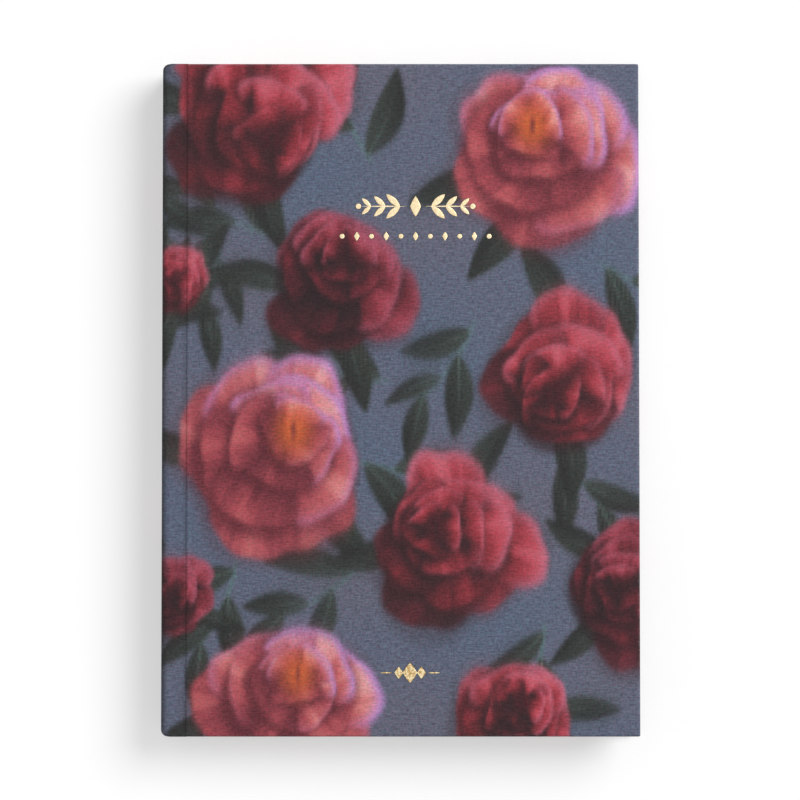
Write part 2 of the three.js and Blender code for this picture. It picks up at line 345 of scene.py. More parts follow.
def mend(mesh):
    """Makes points that coincide one, and turns the faces outwards."""
    form = bmesh.new()
    form.from_mesh(mesh)
    bmesh.ops.remove_doubles(form, verts=form.verts, dist=WELD)
    bmesh.ops.dissolve_degenerate(form, edges=form.edges, dist=WELD / 10)
    bmesh.ops.recalc_face_normals(form, faces=form.faces)
    form.to_mesh(mesh)
    form.free()


def store(mesh, name, values):
    """Keeps a number, or a colour, for each point under a name that the finish reads."""
    if values.ndim == 1:
        layer = mesh.attributes.new(name, "FLOAT", "POINT")
        layer.data.foreach_set("value", values.astype(np.float32))
    else:
        layer = mesh.color_attributes.new(name, "FLOAT_COLOR", "POINT")
        full = np.concatenate([values, np.ones((len(values), 1))], 1)
        layer.data.foreach_set("color", full.astype(np.float32).ravel())


# %% A piece from its points and faces
SHARP = 38  # degrees between faces, past which their edge stays sharp


def make_piece(name, points, faces, finish, uv=None, values=None, sharp=SHARP, second=None):
    """Puts points in mm and arrays of faces into a mesh of its own.

    uv is a place in mm for each point, values are named numbers or colours for each point, and second is a
    pair: a second finish and which faces have it.
    """
    mesh = bpy.data.meshes.new(name)
    counts = np.concatenate([np.full(len(f), f.shape[1]) for f in faces])
    corners = np.concatenate([f.ravel() for f in faces]).astype(np.int32)
    mesh.vertices.add(len(points))
    mesh.vertices.foreach_set("co", (np.asarray(points) * MM).astype(np.float32).ravel())
    mesh.loops.add(len(corners))
    mesh.loops.foreach_set("vertex_index", corners)
    mesh.polygons.add(len(counts))
    mesh.polygons.foreach_set("loop_start", (np.cumsum(counts) - counts).astype(np.int32))
    mesh.update(calc_edges=True)
    if uv is not None:
        layer = mesh.uv_layers.new(name="flat")
        layer.data.foreach_set("uv", (np.asarray(uv)[corners] * MM).astype(np.float32).ravel())
    for key, value in (values or {}).items():
        store(mesh, key, value)
    mesh.materials.append(finish.material)
    if second:
        mesh.materials.append(second[0].material)
        mesh.polygons.foreach_set("material_index", second[1].astype(np.int32))
    mend(mesh)
    mesh.polygons.foreach_set("use_smooth", np.ones(len(mesh.polygons), bool))
    mesh.set_sharp_from_angle(angle=np.radians(sharp))
    piece = bpy.data.objects.new(name, mesh)
    bpy.context.scene.collection.objects.link(piece)
    print(f"{name}: {sum(len(p.vertices) - 2 for p in mesh.polygons)} triangles")
    return piece


# %% A sheet from its face and its back
def make_sheet(name, face, back, finish, uv, values=None, keep=None, sharp=SHARP):
    """A closed sheet from its face and its back, both grids of the same size.

    keep is a pair of index lists: the rows and the columns of the back that are used.
    """
    rows, columns = face.shape[:2]
    keep = keep or (np.arange(rows), np.arange(columns))
    picked = np.ix_(*keep)

    def both(grid, other):
        """One grid's points, then those of the other that are kept."""
        flat = (-1,) + grid.shape[2:]
        return np.concatenate([grid.reshape(flat), other[picked].reshape(flat)])

    values = {key: both(value, value) for key, value in (values or {}).items()}
    faces = sheet_faces(rows, columns, *keep)
    return make_piece(name, both(face, back), faces, finish, both(uv, uv), values, sharp)


# %% A smooth step
def smooth(low, high, value):
    """Rises from 0 at low to 1 at high with no corner at either end: t * t * (3 - 2 * t)."""
    t = np.clip((value - low) / (high - low), 0, 1)
    return t * t * (3 - 2 * t)


# %% [markdown]
# ## The case: one sheet of cloth round three boards
#
# On a real planner one sheet of linen is glued over both boards and the spine board, then drawn round their
# edges and turned in behind them. The sheet is laid out here in the same way. Its columns run across the
# case: up the spine, round the corner, over the flat joint, down into the crease, over the board and round
# its fore-edge. Its rows run along it and end in the same wrap at the head and the tail.
#
# Three short profiles say how the cloth wraps an edge: at the spine board it turns through a soft corner, at
# the joint it is hemmed back on itself, and at a board it goes round 2.4 mm of greyboard. Between them the
# rows move smoothly from one profile to the next. A cube with a bevel would have none of these edges.

# %% Sizes of the case
CLOTH = 0.4  # thickness of the cloth
BACKING = 0.38  # how deep the back of the cloth lies, just clear of its own hem
TURN_IN = 15.0  # cloth folded over behind an edge
SPINE_CORNER = 2.2  # the soft corner at each end of the spine
BOARD_ROUND = 0.9  # outside of a board's edge
TURN_ROUND = 0.3  # inside of a board's edge
TIP_ROUND = 0.6  # a board's corner, seen from above
TIP_LEAST = 0.12  # and the least that it closes to, further in
BEND = 1.2  # the corner between the spine and the joint
BEND_BEHIND = 0.5  # how much tighter that corner is behind the hem
BEND_LEAST = 0.05
CREASE_WIDTH = 0.5  # between the joint's cloth and the board's
GROOVE_WIDTH = 1.1  # of the dent that the eye sees, which has soft sides
GROOVE_DEPTH = 0.2
STEP_FROM_CREASE = 0.3  # past the crease's middle, where the joint's hem gives way to the board's wrap

board_wrap = back_high[2]  # depth of the turn-in behind a board
spine_wrap = box_mm("spine_cloth")[1][0] - spine_x  # and behind the spine board
hem_wrap = 2 * CLOTH
crease_x = box_mm("front_joint_cloth")[1][0] + CREASE_WIDTH / 2
groove_start, groove_end = crease_x - GROOVE_WIDTH / 2, crease_x + GROOVE_WIDTH / 2
print(f"wrap {board_wrap:.2f} mm at a board, {spine_wrap:.2f} mm at the spine")

# %% Parts of a profile
RUN_SHARES = np.array([0.02, 0.1, 0.35, 0.7, 1.0])  # rows of the turned-in cloth, as shares of its width


def arc(across, deep, radius, start, stop, steps):
    """Rows on part of a circle about (across, deep): its centre less radius times (sine, cosine)."""
    angle = np.radians(np.linspace(start, stop, steps + 1)[1:])
    return np.stack([across - radius * np.sin(angle), deep - radius * np.cos(angle)], 1)


def level(inset, deep):
    """Rows at one depth."""
    inset = np.atleast_1d(inset)
    return np.stack([inset, np.full(len(inset), deep)], 1)


def run(start, deep):
    """Rows of the turned-in cloth, from start to its cut edge."""
    return level(start + (TURN_IN - start) * RUN_SHARES, deep)


# %% The three profiles
EASE_ROWS = 6  # rows on the face that close up towards the edge
FOLD_ROWS = 9  # rows round the fold of the spine's end and the joint's
ROUND_ROWS = 4  # rows round the outside of a board's edge
TURN_ROWS = 3  # and round its inside
ease = 1 - np.sin(np.radians(np.linspace(0, 90, EASE_ROWS + 1)))[1:]


def spine_profile(back=0.0):
    """Rows of (distance in from the edge, depth below the face) over the spine board's end.

    back is 0 for the cloth's face, and how deep its back lies for the back, whose folds are square.
    """
    small = spine_wrap - SPINE_CORNER
    fold = arc(small, SPINE_CORNER, small, 90, 180, FOLD_ROWS)
    return np.concatenate([
        level(SPINE_CORNER, back),
        arc(SPINE_CORNER, SPINE_CORNER, SPINE_CORNER - back, 0, 90, EASE_ROWS),
        level([back] * FOLD_ROWS, spine_wrap - back) if back else fold,
        run(small + back, spine_wrap - back),
    ])


def joint_profile(back=0.0):
    """The same over the joint's end: a hem that goes round half a circle, back on the cloth itself."""
    fold = arc(CLOTH, CLOTH, CLOTH, 0, 180, FOLD_ROWS)
    return np.concatenate([
        level(SPINE_CORNER, back),
        level(CLOTH + (SPINE_CORNER - CLOTH) * ease, back),
        level([CLOTH] * FOLD_ROWS, CLOTH) if back else fold,
        run(CLOTH, hem_wrap - back),
    ])


def board_profile(back=0.0):
    """The same over a board's edge: round its outside, down it, and round its inside."""
    turn = arc(TURN_ROUND, board_wrap - TURN_ROUND, TURN_ROUND, 90, 180, TURN_ROWS)
    return np.concatenate([
        level(SPINE_CORNER, back),
        level(BOARD_ROUND + (SPINE_CORNER - BOARD_ROUND) * ease, back),
        arc(BOARD_ROUND, BOARD_ROUND, BOARD_ROUND - back, 0, 90, ROUND_ROWS),
        level(back, board_wrap / 2),
        level(back, board_wrap - max(TURN_ROUND, back)),
        level([back] * TURN_ROWS, board_wrap - back) if back else turn,
        run(TURN_ROUND + back, board_wrap - back),
    ])


edge_rows = len(board_profile()) - 1
ring_rows = edge_rows - EASE_ROWS
path = np.linalg.norm(np.diff(board_profile(), axis=0), axis=1)
along_edge = np.concatenate([[0], np.cumsum(path)])  # how far each row has travelled over the edge
print(f"{edge_rows} rows of cloth over each edge, {along_edge[-1]:.1f} mm long")

# %% [markdown]
# Rows and columns come next. `row_edge` counts rows past the face (0 on it), and `row_end` says at which end.
# The columns get a place in the flat sheet too: `flat_x` and `flat_y` are where a point of the cloth lay
# before it was wrapped, and the print and the weave follow them.

# %% Rows and columns of the sheet
GRAIN = 0.69  # spacing of the fine grid, on the front
BACK_GRAIN = 1.6  # and on the back cover

face_end = head_y - SPINE_CORNER
face_rows = np.linspace(-face_end, face_end, int(2 * face_end / GRAIN) + 1)
over = np.arange(1, edge_rows + 1)
row_y = np.concatenate([np.full(edge_rows, -face_end), face_rows, np.full(edge_rows, face_end)])
row_edge = np.concatenate([over[::-1], np.zeros(len(face_rows), int), over])
row_end = np.sign(row_y)
flat_y = row_y + row_end * along_edge[row_edge]

spine_steps = np.linspace(0, 1, 13)  # shares of the way up the spine's half
bend_steps = np.linspace(0, 90, 9)[1:]  # degrees round its corner
joint_steps = np.linspace(0, 1, 11)[1:]  # shares of the way over the joint
crease_columns = np.linspace(groove_start, groove_end, 21)[1:]
board_end = fore_x - BOARD_ROUND
print(f"{len(row_y)} rows, flat sheet {flat_y[-1] - flat_y[0]:.1f} mm long")


def board_columns(spacing):
    """Where the board's columns lie, an even spacing apart."""
    return np.linspace(groove_end, board_end, int((board_end - groove_end) / spacing) + 1)[1:]


def along_case(rows):
    """Where rows lie along the planner, from how far in from its ends they are, as a column of numbers."""
    return np.where(row_edge == 0, row_y, row_end * (head_y - rows[:, 0]))[:, None]


# %% The columns from the spine to the crease
def spine_and_joint(back):
    """The columns up the spine's half, round its corner and over the joint.

    In the spine's columns x is the spine's face plus the row's depth; in the joint's, z is the top less it.
    The columns between stand on a quarter circle, on which the rows go from one profile to the other.
    """
    spine_rows, joint_rows = spine_profile(back)[row_edge], joint_profile(back)[row_edge]
    joint_deep = joint_rows[:, 1:]
    behind = np.clip(joint_deep / hem_wrap, 0, 1)
    bend = np.maximum(BEND - BEND_BEHIND * behind - back, BEND_LEAST)
    centre_x = spine_x + spine_rows[:, 1:] + bend
    centre_z = top_z - joint_deep - bend
    middle_z = top_z / 2
    angle = np.radians(bend_steps)
    turn = smooth(0, 90, bend_steps)
    x = [
        centre_x - bend + 0 * spine_steps,
        centre_x - bend * np.cos(angle),
        centre_x + (groove_start - centre_x) * joint_steps,
    ]
    y = [
        along_case(spine_rows) + 0 * spine_steps,
        along_case(spine_rows) * (1 - turn) + along_case(joint_rows) * turn,
        along_case(joint_rows) + 0 * joint_steps,
    ]
    z = [
        middle_z + (centre_z - middle_z) * spine_steps,
        centre_z + bend * np.sin(angle),
        centre_z + bend + 0 * joint_steps,
    ]
    return np.stack([np.concatenate(part, 1) for part in (x, y, z)], -1)


def crease(back):
    """The columns of the crease: a dent of one cosine wave, where the hem gives way to the board's wrap."""
    joint_rows, board_rows = joint_profile(back)[row_edge], board_profile(back)[row_edge]
    joint_deep, board_deep = joint_rows[:, 1:], board_rows[:, 1:]
    step = smooth(crease_x + STEP_FROM_CREASE, groove_end, crease_columns)
    dent = GROOVE_DEPTH * (0.5 + 0.5 * np.cos(2 * np.pi * (crease_columns - crease_x) / GROOVE_WIDTH))
    on_top = 0 * joint_deep if back else np.clip(1 - joint_deep / CLOTH, 0, 1)
    x = crease_columns + 0 * joint_deep
    y = along_case(joint_rows) * (1 - step) + along_case(board_rows) * step
    z = top_z - joint_deep * (1 - step) - board_deep * step - on_top * dent
    return np.stack([x, y, z], -1)


# %% The columns over the board
def board_and_rings(spacing, back):
    """The columns of the board's face, and the rings of cloth that run round its three edges.

    Ring k lies inset[k] in from the edge and deep[k] down, and its corner is an arc of the tip's radius less
    inset[k]. Rows and columns that are both past the face share the ring of the larger number, and spread
    out over that arc by the ratio of the two.
    """
    board_rows = board_profile(back)[row_edge]
    ring = board_profile(back)[EASE_ROWS:]
    face_x = board_columns(spacing)
    columns_over = np.concatenate([np.zeros(len(face_x), int), np.arange(1, ring_rows + 1)])[None, :]
    rows_over = np.maximum(row_edge - EASE_ROWS, 0)[:, None]
    larger = np.maximum(columns_over, rows_over)
    inset, deep = ring[larger, 0], ring[larger, 1]
    tip = np.where(larger > 0, np.maximum(TIP_ROUND - inset, TIP_LEAST), 0)
    end_x = np.where(larger > 0, fore_x - inset - tip, board_end)
    end_y = np.where(larger > 0, head_y - inset - tip, head_y - BOARD_ROUND)
    by_columns = columns_over / np.maximum(larger, 1) / 2
    by_rows = 1 - rows_over / np.maximum(larger, 1) / 2
    angle = np.where(rows_over >= columns_over, by_columns, by_rows) * np.pi / 2
    full_x = np.concatenate([face_x, np.full(ring_rows, board_end)])[None, :]
    ring_x = groove_end + (full_x - groove_end) * (end_x - groove_end) / (board_end - groove_end)
    ring_y = along_case(board_rows) * end_y / (head_y - BOARD_ROUND)
    ring_y = np.where(rows_over > 0, row_end[:, None] * (end_y + tip * np.cos(angle)), ring_y)
    x = np.where(columns_over > 0, end_x + tip * np.sin(angle), ring_x)
    y = np.where(larger > 0, ring_y, along_case(board_rows))
    return np.stack([x, y, top_z - deep], -1)


def case_half(spacing, back=0.0):
    """The front half of the sheet, from the middle of the spine to the fore-edge's turn-in, as a grid."""
    return np.concatenate([spine_and_joint(back), crease(back), board_and_rings(spacing, back)], 1)


def flat_columns(spacing):
    """Where each column lies across the flat sheet: the length of its path, counted from the joint's x."""
    middle = case_half(spacing)[len(row_edge) // 2]
    steps = np.linalg.norm(np.diff(middle[:, [0, 2]], axis=0), axis=1)
    length = np.concatenate([[0], np.cumsum(steps)])
    joint = len(spine_steps) + len(bend_steps)
    return length - length[joint] + middle[joint, 0]


# %% Both halves of the case
front_face, front_back = case_half(GRAIN), case_half(GRAIN, BACKING)
front_flat = flat_columns(GRAIN)
lower_face, lower_back = case_half(BACK_GRAIN), case_half(BACK_GRAIN, BACKING)
lower_flat = 2 * front_flat[0] - flat_columns(BACK_GRAIN)
for grid in (lower_face, lower_back):
    grid[..., 2] = top_z - grid[..., 2]
print(f"front half {front_face.shape[0]} x {front_face.shape[1]} points")
print(f"flat sheet {front_flat[-1] - lower_flat[-1]:.1f} x {flat_y[-1] - flat_y[0]:.1f} mm")

# %% [markdown]
# ## The print
#
# The cloth is printed with large, blurred blossoms in crimson and coral, with dark leaves, on slate blue. The
# design here is a plain one of its own in those colours: full blossoms whose petals lie in four rings, seen a
# little from the side, and sprays of broad leaves. It is painted from the back to the front, as on paper.
# Every petal first throws a soft shadow, then goes from dark at its root to light at its tip, with a fold and
# a ridge along it. Petals that point to the light are brighter. The canvas is smeared along the book at the
# end, as the print is.
#
# An image would be quicker to put there, but a formula has no pixels of its own and can be altered at will.

# %% Inks, and a canvas to lay them on
GROUND = (92, 97, 113)
LEAF = {"dark": (37, 38, 36), "body": (50, 54, 49), "pale": (102, 120, 110)}
STEM = (88, 112, 112)
CRIMSON = {"dark": (52, 32, 35), "body": (114, 42, 48), "light": (174, 60, 70), "tip": (196, 92, 104),
           "rim": (190, 106, 126), "glow": (74, 30, 35), "heart": 0.26}
WINE = {"dark": (45, 30, 33), "body": (93, 38, 44), "light": (140, 52, 62), "tip": (172, 78, 92),
        "rim": (168, 88, 108), "glow": (56, 28, 32), "heart": 0.26}
CORAL = {"dark": (96, 42, 50), "body": (164, 72, 79), "light": (206, 112, 108), "tip": (224, 154, 150),
         "rim": (184, 136, 206), "glow": (230, 112, 54), "heart": 0.42}
chance = np.random.default_rng(23)


class Canvas:
    """Colours on a grid whose columns lie at across and whose rows lie at up, both in mm and both rising."""

    def __init__(self, across, up, colour):
        """A canvas of one colour."""
        self.across, self.up = across, up
        self.colour = np.empty((len(up), len(across), 3))
        self.colour[:] = colour

    def window(self, x, y, reach):
        """The part of the canvas within reach of a point, with its distances from that point."""
        columns = slice(*np.searchsorted(self.across, (x - reach, x + reach)))
        rows = slice(*np.searchsorted(self.up, (y - reach, y + reach)))
        return (rows, columns), self.across[columns][None, :] - x, self.up[rows][:, None] - y

    def lay(self, part, colour, cover):
        """Paints colour over a part of the canvas, where cover is 1, and thinner where it is less."""
        under = self.colour[part]
        self.colour[part] = under + (np.array(colour) - under) * cover[..., None]


def turned(x, y, angle):
    """Distances along and across a line through the origin that lies at an angle."""
    return x * np.cos(angle) + y * np.sin(angle), y * np.cos(angle) - x * np.sin(angle)


def mixed(first, second, amount):
    """A colour for each number: the first at 0 and below, the second at 1 and above."""
    return np.array(first) + (np.array(second) - np.array(first)) * np.clip(amount, 0, 1)[..., None]


def bell(value, place, width):
    """1 at a place, falling off to both sides: exp(-((value - place) / width)^2)."""
    return np.exp(-((value - place) / width) ** 2)


# %% [markdown]
# A petal is measured in its own lengths: `t` runs from 0 at its root to 1 at its tip, and `s` from side to
# side. Its outline is a superellipse in those two, broader towards the tip and a little ruffled. A ridge and
# a fold are two bell curves across it, one bright and one dark, and three waves across it are its veins.

# %% One petal
SHADOW_SHIFT = (1.3, 1.6)  # mm that a petal's shadow falls to the left and down
VEINS = ((31, 0.05), (53, 0.05), (89, 0.04))  # how fast each wave goes across, and how strong it is


def outline(t, s, broad, phase):
    """Less than 1 inside the petal: |(t - 1/2) / (1/2 + ruffle)|^2.6 + |2 s / broad|^2.2."""
    ruffle = 0.04 * np.sin(6 * s + 5 * phase) + 0.014 * np.sin(15 * s + 9 * phase)
    return np.abs((t - 0.5) / (0.5 + ruffle)) ** 2.6 + np.abs(2 * s / broad) ** 2.2


def brightness(t, s, lit, ridge, fold, phase):
    """Rises towards the tip, with the ridge, the fold and the veins on it, and all more so in the light."""
    bright = 0.75 * smooth(0.22, 0.95, t)
    bright = bright + 0.42 * bell(s, 0.22 * ridge, 0.10) * smooth(0.15, 0.7, t)
    bright = bright - 0.50 * bell(s, 0.30 * fold + 0.08, 0.07) * smooth(1.0, 0.5, t)
    for veins, depth in VEINS:
        fine = np.sin(veins * s * (1.2 - 0.4 * t) + veins * phase)
        bright = bright + depth * fine * smooth(0.2, 0.75, t)
    return bright * (0.45 + 0.7 * lit) + 0.40 * (lit - 0.5)


def petal(canvas, root, angle, length, width, ink, lit, shade):
    """One petal and its shadow. lit is 1 where it faces the light and 0 where it turns away.

    The brighter it is at a point, the further its colour has gone from dark over body and light to tip.
    """
    part, across, up = canvas.window(*root, length * 1.35)
    along, side = turned(across, up, angle)
    t = along / length
    bend, ridge, fold, phase = chance.uniform(-1, 1, 4)
    s = side / width - 0.14 * bend * t ** 2
    broad = 0.36 + 0.64 * smooth(-0.1, 0.75, t)
    cast_t, cast_s = turned(across + SHADOW_SHIFT[0], up + SHADOW_SHIFT[1], angle)
    cast = np.abs((cast_t / length - 0.5) / 0.55) ** 2.4 + np.abs(2 * cast_s / width / broad) ** 2.2
    canvas.lay(part, np.array(ink["dark"]) * 0.9, shade * smooth(1.5, 0.7, cast) * smooth(0.15, 0.5, t))
    bright = brightness(t, s, lit, ridge, fold, phase)
    colour = mixed(ink["dark"], ink["body"], bright * 2.0 + 0.12)
    colour = mixed(colour, ink["light"], bright * 1.7 - 0.62)
    colour = mixed(colour, ink["tip"], bright * 1.8 - 1.35)
    measure = outline(t, s, broad, phase)
    edge = smooth(0.40, 0.95, measure) * smooth(0.4, 0.85, t) * smooth(0.3, 0.9, lit)
    canvas.lay(part, mixed(colour, ink["rim"], 0.85 * edge), 0.97 * smooth(1.20, 0.78, measure))


# %% A blossom of four rings of petals
LIGHT_FROM = 0.9  # direction of the painted light, in radians from the right
PETAL_RINGS = (  # number, length, width, how much their lengths differ, and how dark a shadow they throw
    (7, 1.02, 1.10, 0.24, 0.22),
    (5, 0.78, 1.05, 0.16, 0.62),
    (4, 0.55, 0.90, 0.12, 0.62),
    (3, 0.34, 0.66, 0.10, 0.62),
)
RING_TURN = 0.5  # radians from one ring to the next
HEART_TILT = 0.66  # how far towards the tilt the heart lies


def glow(canvas, place, radius, ink, reach, cover, flat):
    """Lays the ink's glow round a place, gone at reach times the radius, and higher than wide by flat."""
    part, across, up = canvas.window(*place, radius)
    canvas.lay(part, ink["glow"], cover * smooth(reach, 0.0, np.hypot(across * flat, up) / radius))


def blossom(canvas, x, y, radius, ink, turn, tilt):
    """Rings of petals from the outermost in, and a heart. Inner rings stand towards the tilt."""
    for ring, (count, reach, width, stray, shade) in enumerate(PETAL_RINGS):
        root = [place + lean * (1 - reach) * radius for place, lean in zip((x, y), tilt)]
        spread = np.arange(count) + chance.uniform(-0.2, 0.2, count)
        angles = turn + RING_TURN * ring + spread * 2 * np.pi / count
        for angle in chance.permutation(angles):
            length = radius * reach * chance.uniform(0.98 - stray, 0.98 + stray)
            lit = 0.5 + 0.42 * np.cos(angle - LIGHT_FROM) + chance.uniform(-0.18, 0.18)
            broad = radius * width * chance.uniform(0.85, 1.1)
            petal(canvas, root, angle, length, broad, ink, lit, shade)
        if ring < len(PETAL_RINGS) - 1:
            glow(canvas, root, radius, ink, 0.62 * reach, 0.55, 1.2)
    heart = [place + HEART_TILT * lean * radius for place, lean in zip((x, y), tilt)]
    glow(canvas, heart, radius, ink, ink["heart"], 0.80, 1.25)
    part, across, up = canvas.window(*heart, radius)
    slit = np.hypot(across * 2.6, up * 0.8) / radius
    canvas.lay(part, ink["dark"], 0.75 * smooth(0.12, 0.02, slit))


print(f"{sum(count for count, *_ in PETAL_RINGS)} petals in a blossom")

# %% [markdown]
# A leaf's half width follows a sine that leans towards its root. A stem bows to one side by a parabola, and
# a spray sets leaves to both sides of a stem, the outer ones smaller and closer to it.

# %% Leaves and sprays
STEM_BOW = 0.32  # a stem bows by this times its length times t (1 - t)
SPRAY_LEAVES = 4


def leaf(canvas, x, y, angle, length):
    """A broad leaf, whose half width goes by the sine of t^0.85. One side is darker, and a vein down its
    middle and streaks near its root are pale."""
    width = length * chance.uniform(0.28, 0.36)
    part, across, up = canvas.window(x, y, length * 1.1)
    along, side = turned(across, up, angle)
    t = np.clip(along / length, 0, 1)
    side = side - 0.10 * length * np.sin(np.pi * t) * chance.uniform(-1, 1)
    half_width = width / 2 * np.sin(np.pi * t ** 0.85) ** 0.9
    inside = smooth(0.8, -0.8, np.abs(side) - half_width) * smooth(-0.01, 0.05, along / length)
    inside = inside * smooth(1.01, 0.94, along / length)
    colour = mixed(LEAF["dark"], LEAF["body"], smooth(-0.5, 0.5, side / width))
    vein = smooth(0.7, 0.0, np.abs(side)) * smooth(0.9, 0.1, t)
    streak = 0.5 + 0.5 * np.sin(side * 5 + along * 1.2)
    colour = mixed(colour, LEAF["pale"], 0.38 * vein + 0.36 * streak * smooth(0.8, 0.0, t))
    canvas.lay(part, colour, 0.97 * inside)


def leaves_round(canvas, x, y, radius):
    """Two leaves that come from behind a blossom, from 0.6 of its radius on, in any two directions."""
    for angle in chance.uniform(0, 2 * np.pi, 2):
        length = 0.75 * radius + chance.uniform(8, 14)
        root_x, root_y = x + 0.6 * radius * np.cos(angle), y + 0.6 * radius * np.sin(angle)
        leaf(canvas, root_x, root_y, angle + chance.uniform(-0.5, 0.5), length)


def spray(canvas, x, y, angle, length):
    """A stem from x, y, bowed by a parabola of t, with leaves along it that splay to both sides by turns."""
    part, across, up = canvas.window(x, y, length)
    along, side = turned(across, up, angle)
    t = along / length
    near = np.abs(side - STEM_BOW * length * t * (1 - t))
    canvas.lay(part, STEM, 0.75 * smooth(1.3, 0.2, near) * smooth(0, 0.1, t) * smooth(1, 0.9, t))
    for number in range(SPRAY_LEAVES):
        t = (number + 0.5) / SPRAY_LEAVES
        bow = STEM_BOW * length * t * (1 - t)
        root_x = x + length * t * np.cos(angle) - bow * np.sin(angle)
        root_y = y + length * t * np.sin(angle) + bow * np.cos(angle)
        splay = (0.7 if number % 2 else -0.7) * (1 - 0.5 * t)
        leaf(canvas, root_x, root_y, angle + splay, length * (0.85 - 0.2 * t) * chance.uniform(0.85, 1.1))


# %% [markdown]
# The layout is a list of what stands where on the flat sheet, first the sprays and then the blossoms, in
# millimetres from the middle of the front cover. The back cover, to the left of the spine, has the same
# list turned by half a turn, so that the print runs on over the whole case.

# %% The layout of the print
SPRAYS = [  # x, y, direction in radians, length
    (-8, 74, 1.9, 36), (62, 44, -0.7, 34), (-40, 52, 2.6, 34), (-58, 56, -1.8, 30), (24, 26, -2.2, 34),
    (-2, 6, 2.9, 34), (-16, -20, -0.4, 36), (48, -18, -0.9, 34), (-52, -50, -2.0, 34), (-12, -52, -2.6, 34),
    (46, -70, -1.9, 32), (-80, 24, 0.7, 26), (-86, -74, 1.9, 28),
]
BLOSSOMS = [  # x, y, radius, ink, turn in radians, and which way its middle leans
    (-47, 93, 29, CRIMSON, 0.2, (0.3, -0.5)), (48, 78, 29, CORAL, 0.9, (-0.3, 0.5)),
    (-20, 38, 23, WINE, 1.3, (0.2, 0.5)), (-72, 38, 12, CRIMSON, 0.4, (0, 0)),
    (54, 8, 25, CRIMSON, 0.6, (-0.3, -0.4)), (-42, -20, 30, CORAL, 0.1, (0.4, 0.5)),
    (18, -46, 25, CRIMSON, 0.8, (-0.4, 0.3)), (75, -60, 21, WINE, 0.2, (-0.4, 0)),
    (-36, -98, 26, CORAL, 1.2, (0.2, 0.6)), (-74, -62, 13, WINE, 0.7, (0.2, 0)),
    (36, -103, 20, CRIMSON, 0.5, (0.2, 0.5)),
]
BACK_TURN = 2.0  # radians by which a blossom on the back cover is turned against its twin

order = np.argsort(lower_flat)
across = np.concatenate([lower_flat[order], front_flat[1:]])
canvas = Canvas(across, flat_y, GROUND)
wide, high = across[None, :], flat_y[:, None]
cloud = np.sin(wide / 17 + 1.3 * np.sin(high / 23)) * np.sin(high / 13 + wide / 41)
canvas.colour += cloud[..., None] * np.array([-4.0, 1.0, 3.0])

turn_x = front_flat[0]
for x, y, angle, length in SPRAYS:
    spray(canvas, x, y, angle, length)
    spray(canvas, 2 * turn_x - x, -y, angle + np.pi, length)
everywhere = []
for x, y, radius, ink, turn, tilt in BLOSSOMS:
    everywhere.append((2 * turn_x - x, -y, radius, ink, turn + BACK_TURN, tilt))
everywhere += BLOSSOMS
for x, y, radius, *_ in everywhere:
    leaves_round(canvas, x, y, radius)
for flower in everywhere:
    blossom(canvas, *flower)
print(f"{2 * len(SPRAYS)} sprays and {len(everywhere)} blossoms")

# %% [markdown]
# A brush drawn along the book smears the print, more in some bands than in others. Painted shade then
# darkens the crease and the corner of the spine, which turns away from the light, and a painted highlight
# lightens a thin strip just right of the crease. A mesh stores linear colours, so the picture's values are
# turned into those at the very end.

# %% The smeared print
def smear(colour, reach):
    """Each row becomes the mean of those within reach of it, the nearer ones counting for more."""
    weights = reach + 1.0 - np.abs(np.arange(-reach, reach + 1))
    padded = np.pad(colour, [(reach, reach), (0, 0), (0, 0)], mode="edge")
    shifted = (weight * padded[start:start + len(colour)] for start, weight in enumerate(weights))
    return sum(shifted) / weights.sum()


brushed = 0.28 + 0.24 * np.sin(wide / 9 + 2 * np.sin(high / 31))
printed = smear(canvas.colour, 1)
printed += brushed[..., None] * (smear(canvas.colour, 8) - printed)
# Painted shade darkens the crease and the spine's corner; a painted highlight lightens a strip by the crease.
corner_at = front_flat[len(spine_steps) + len(bend_steps) // 2]
painted_shading = 0.15 * bell(across, crease_x, 0.75) + 0.30 * bell(across, corner_at, 1.0)
painted_shading -= 0.06 * bell(across, crease_x + 1.2, 0.5)
printed = printed * (1 - painted_shading)[None, :, None]
linear = np.array([srgb(v, v, v)[0] for v in range(256)])
ink_grid = np.interp(printed, np.arange(256), linear)
lower_ink = ink_grid[:, :len(lower_flat)][:, ::-1]
front_ink = ink_grid[:, len(lower_flat) - 1:]
print(f"print mean {printed[:, len(lower_flat):].mean((0, 1)).round()}")

# %% [markdown]
# ## The cloth itself
#
# The linen is a plain weave, three threads to the millimetre, of slubby yarn: some threads are thicker or
# paler for a few millimetres. Two long, thin noises, one along the sheet and one across it, give every
# thread its own shade, and a finer one adds flecks. A product of two sines is the over-and-under of the
# weave. All of them shade the print under them, less where it is bright, because dye fills the yarn there.
# The yarn and the weave also lift the surface, and the cloth is rubbed paler along its edges.

# %% Cloth finish
THREAD = 0.31  # mm from one thread to the next
WARP_SLUB, WEFT_SLUB = 2, 3  # mm that a thick place in a thread goes on for


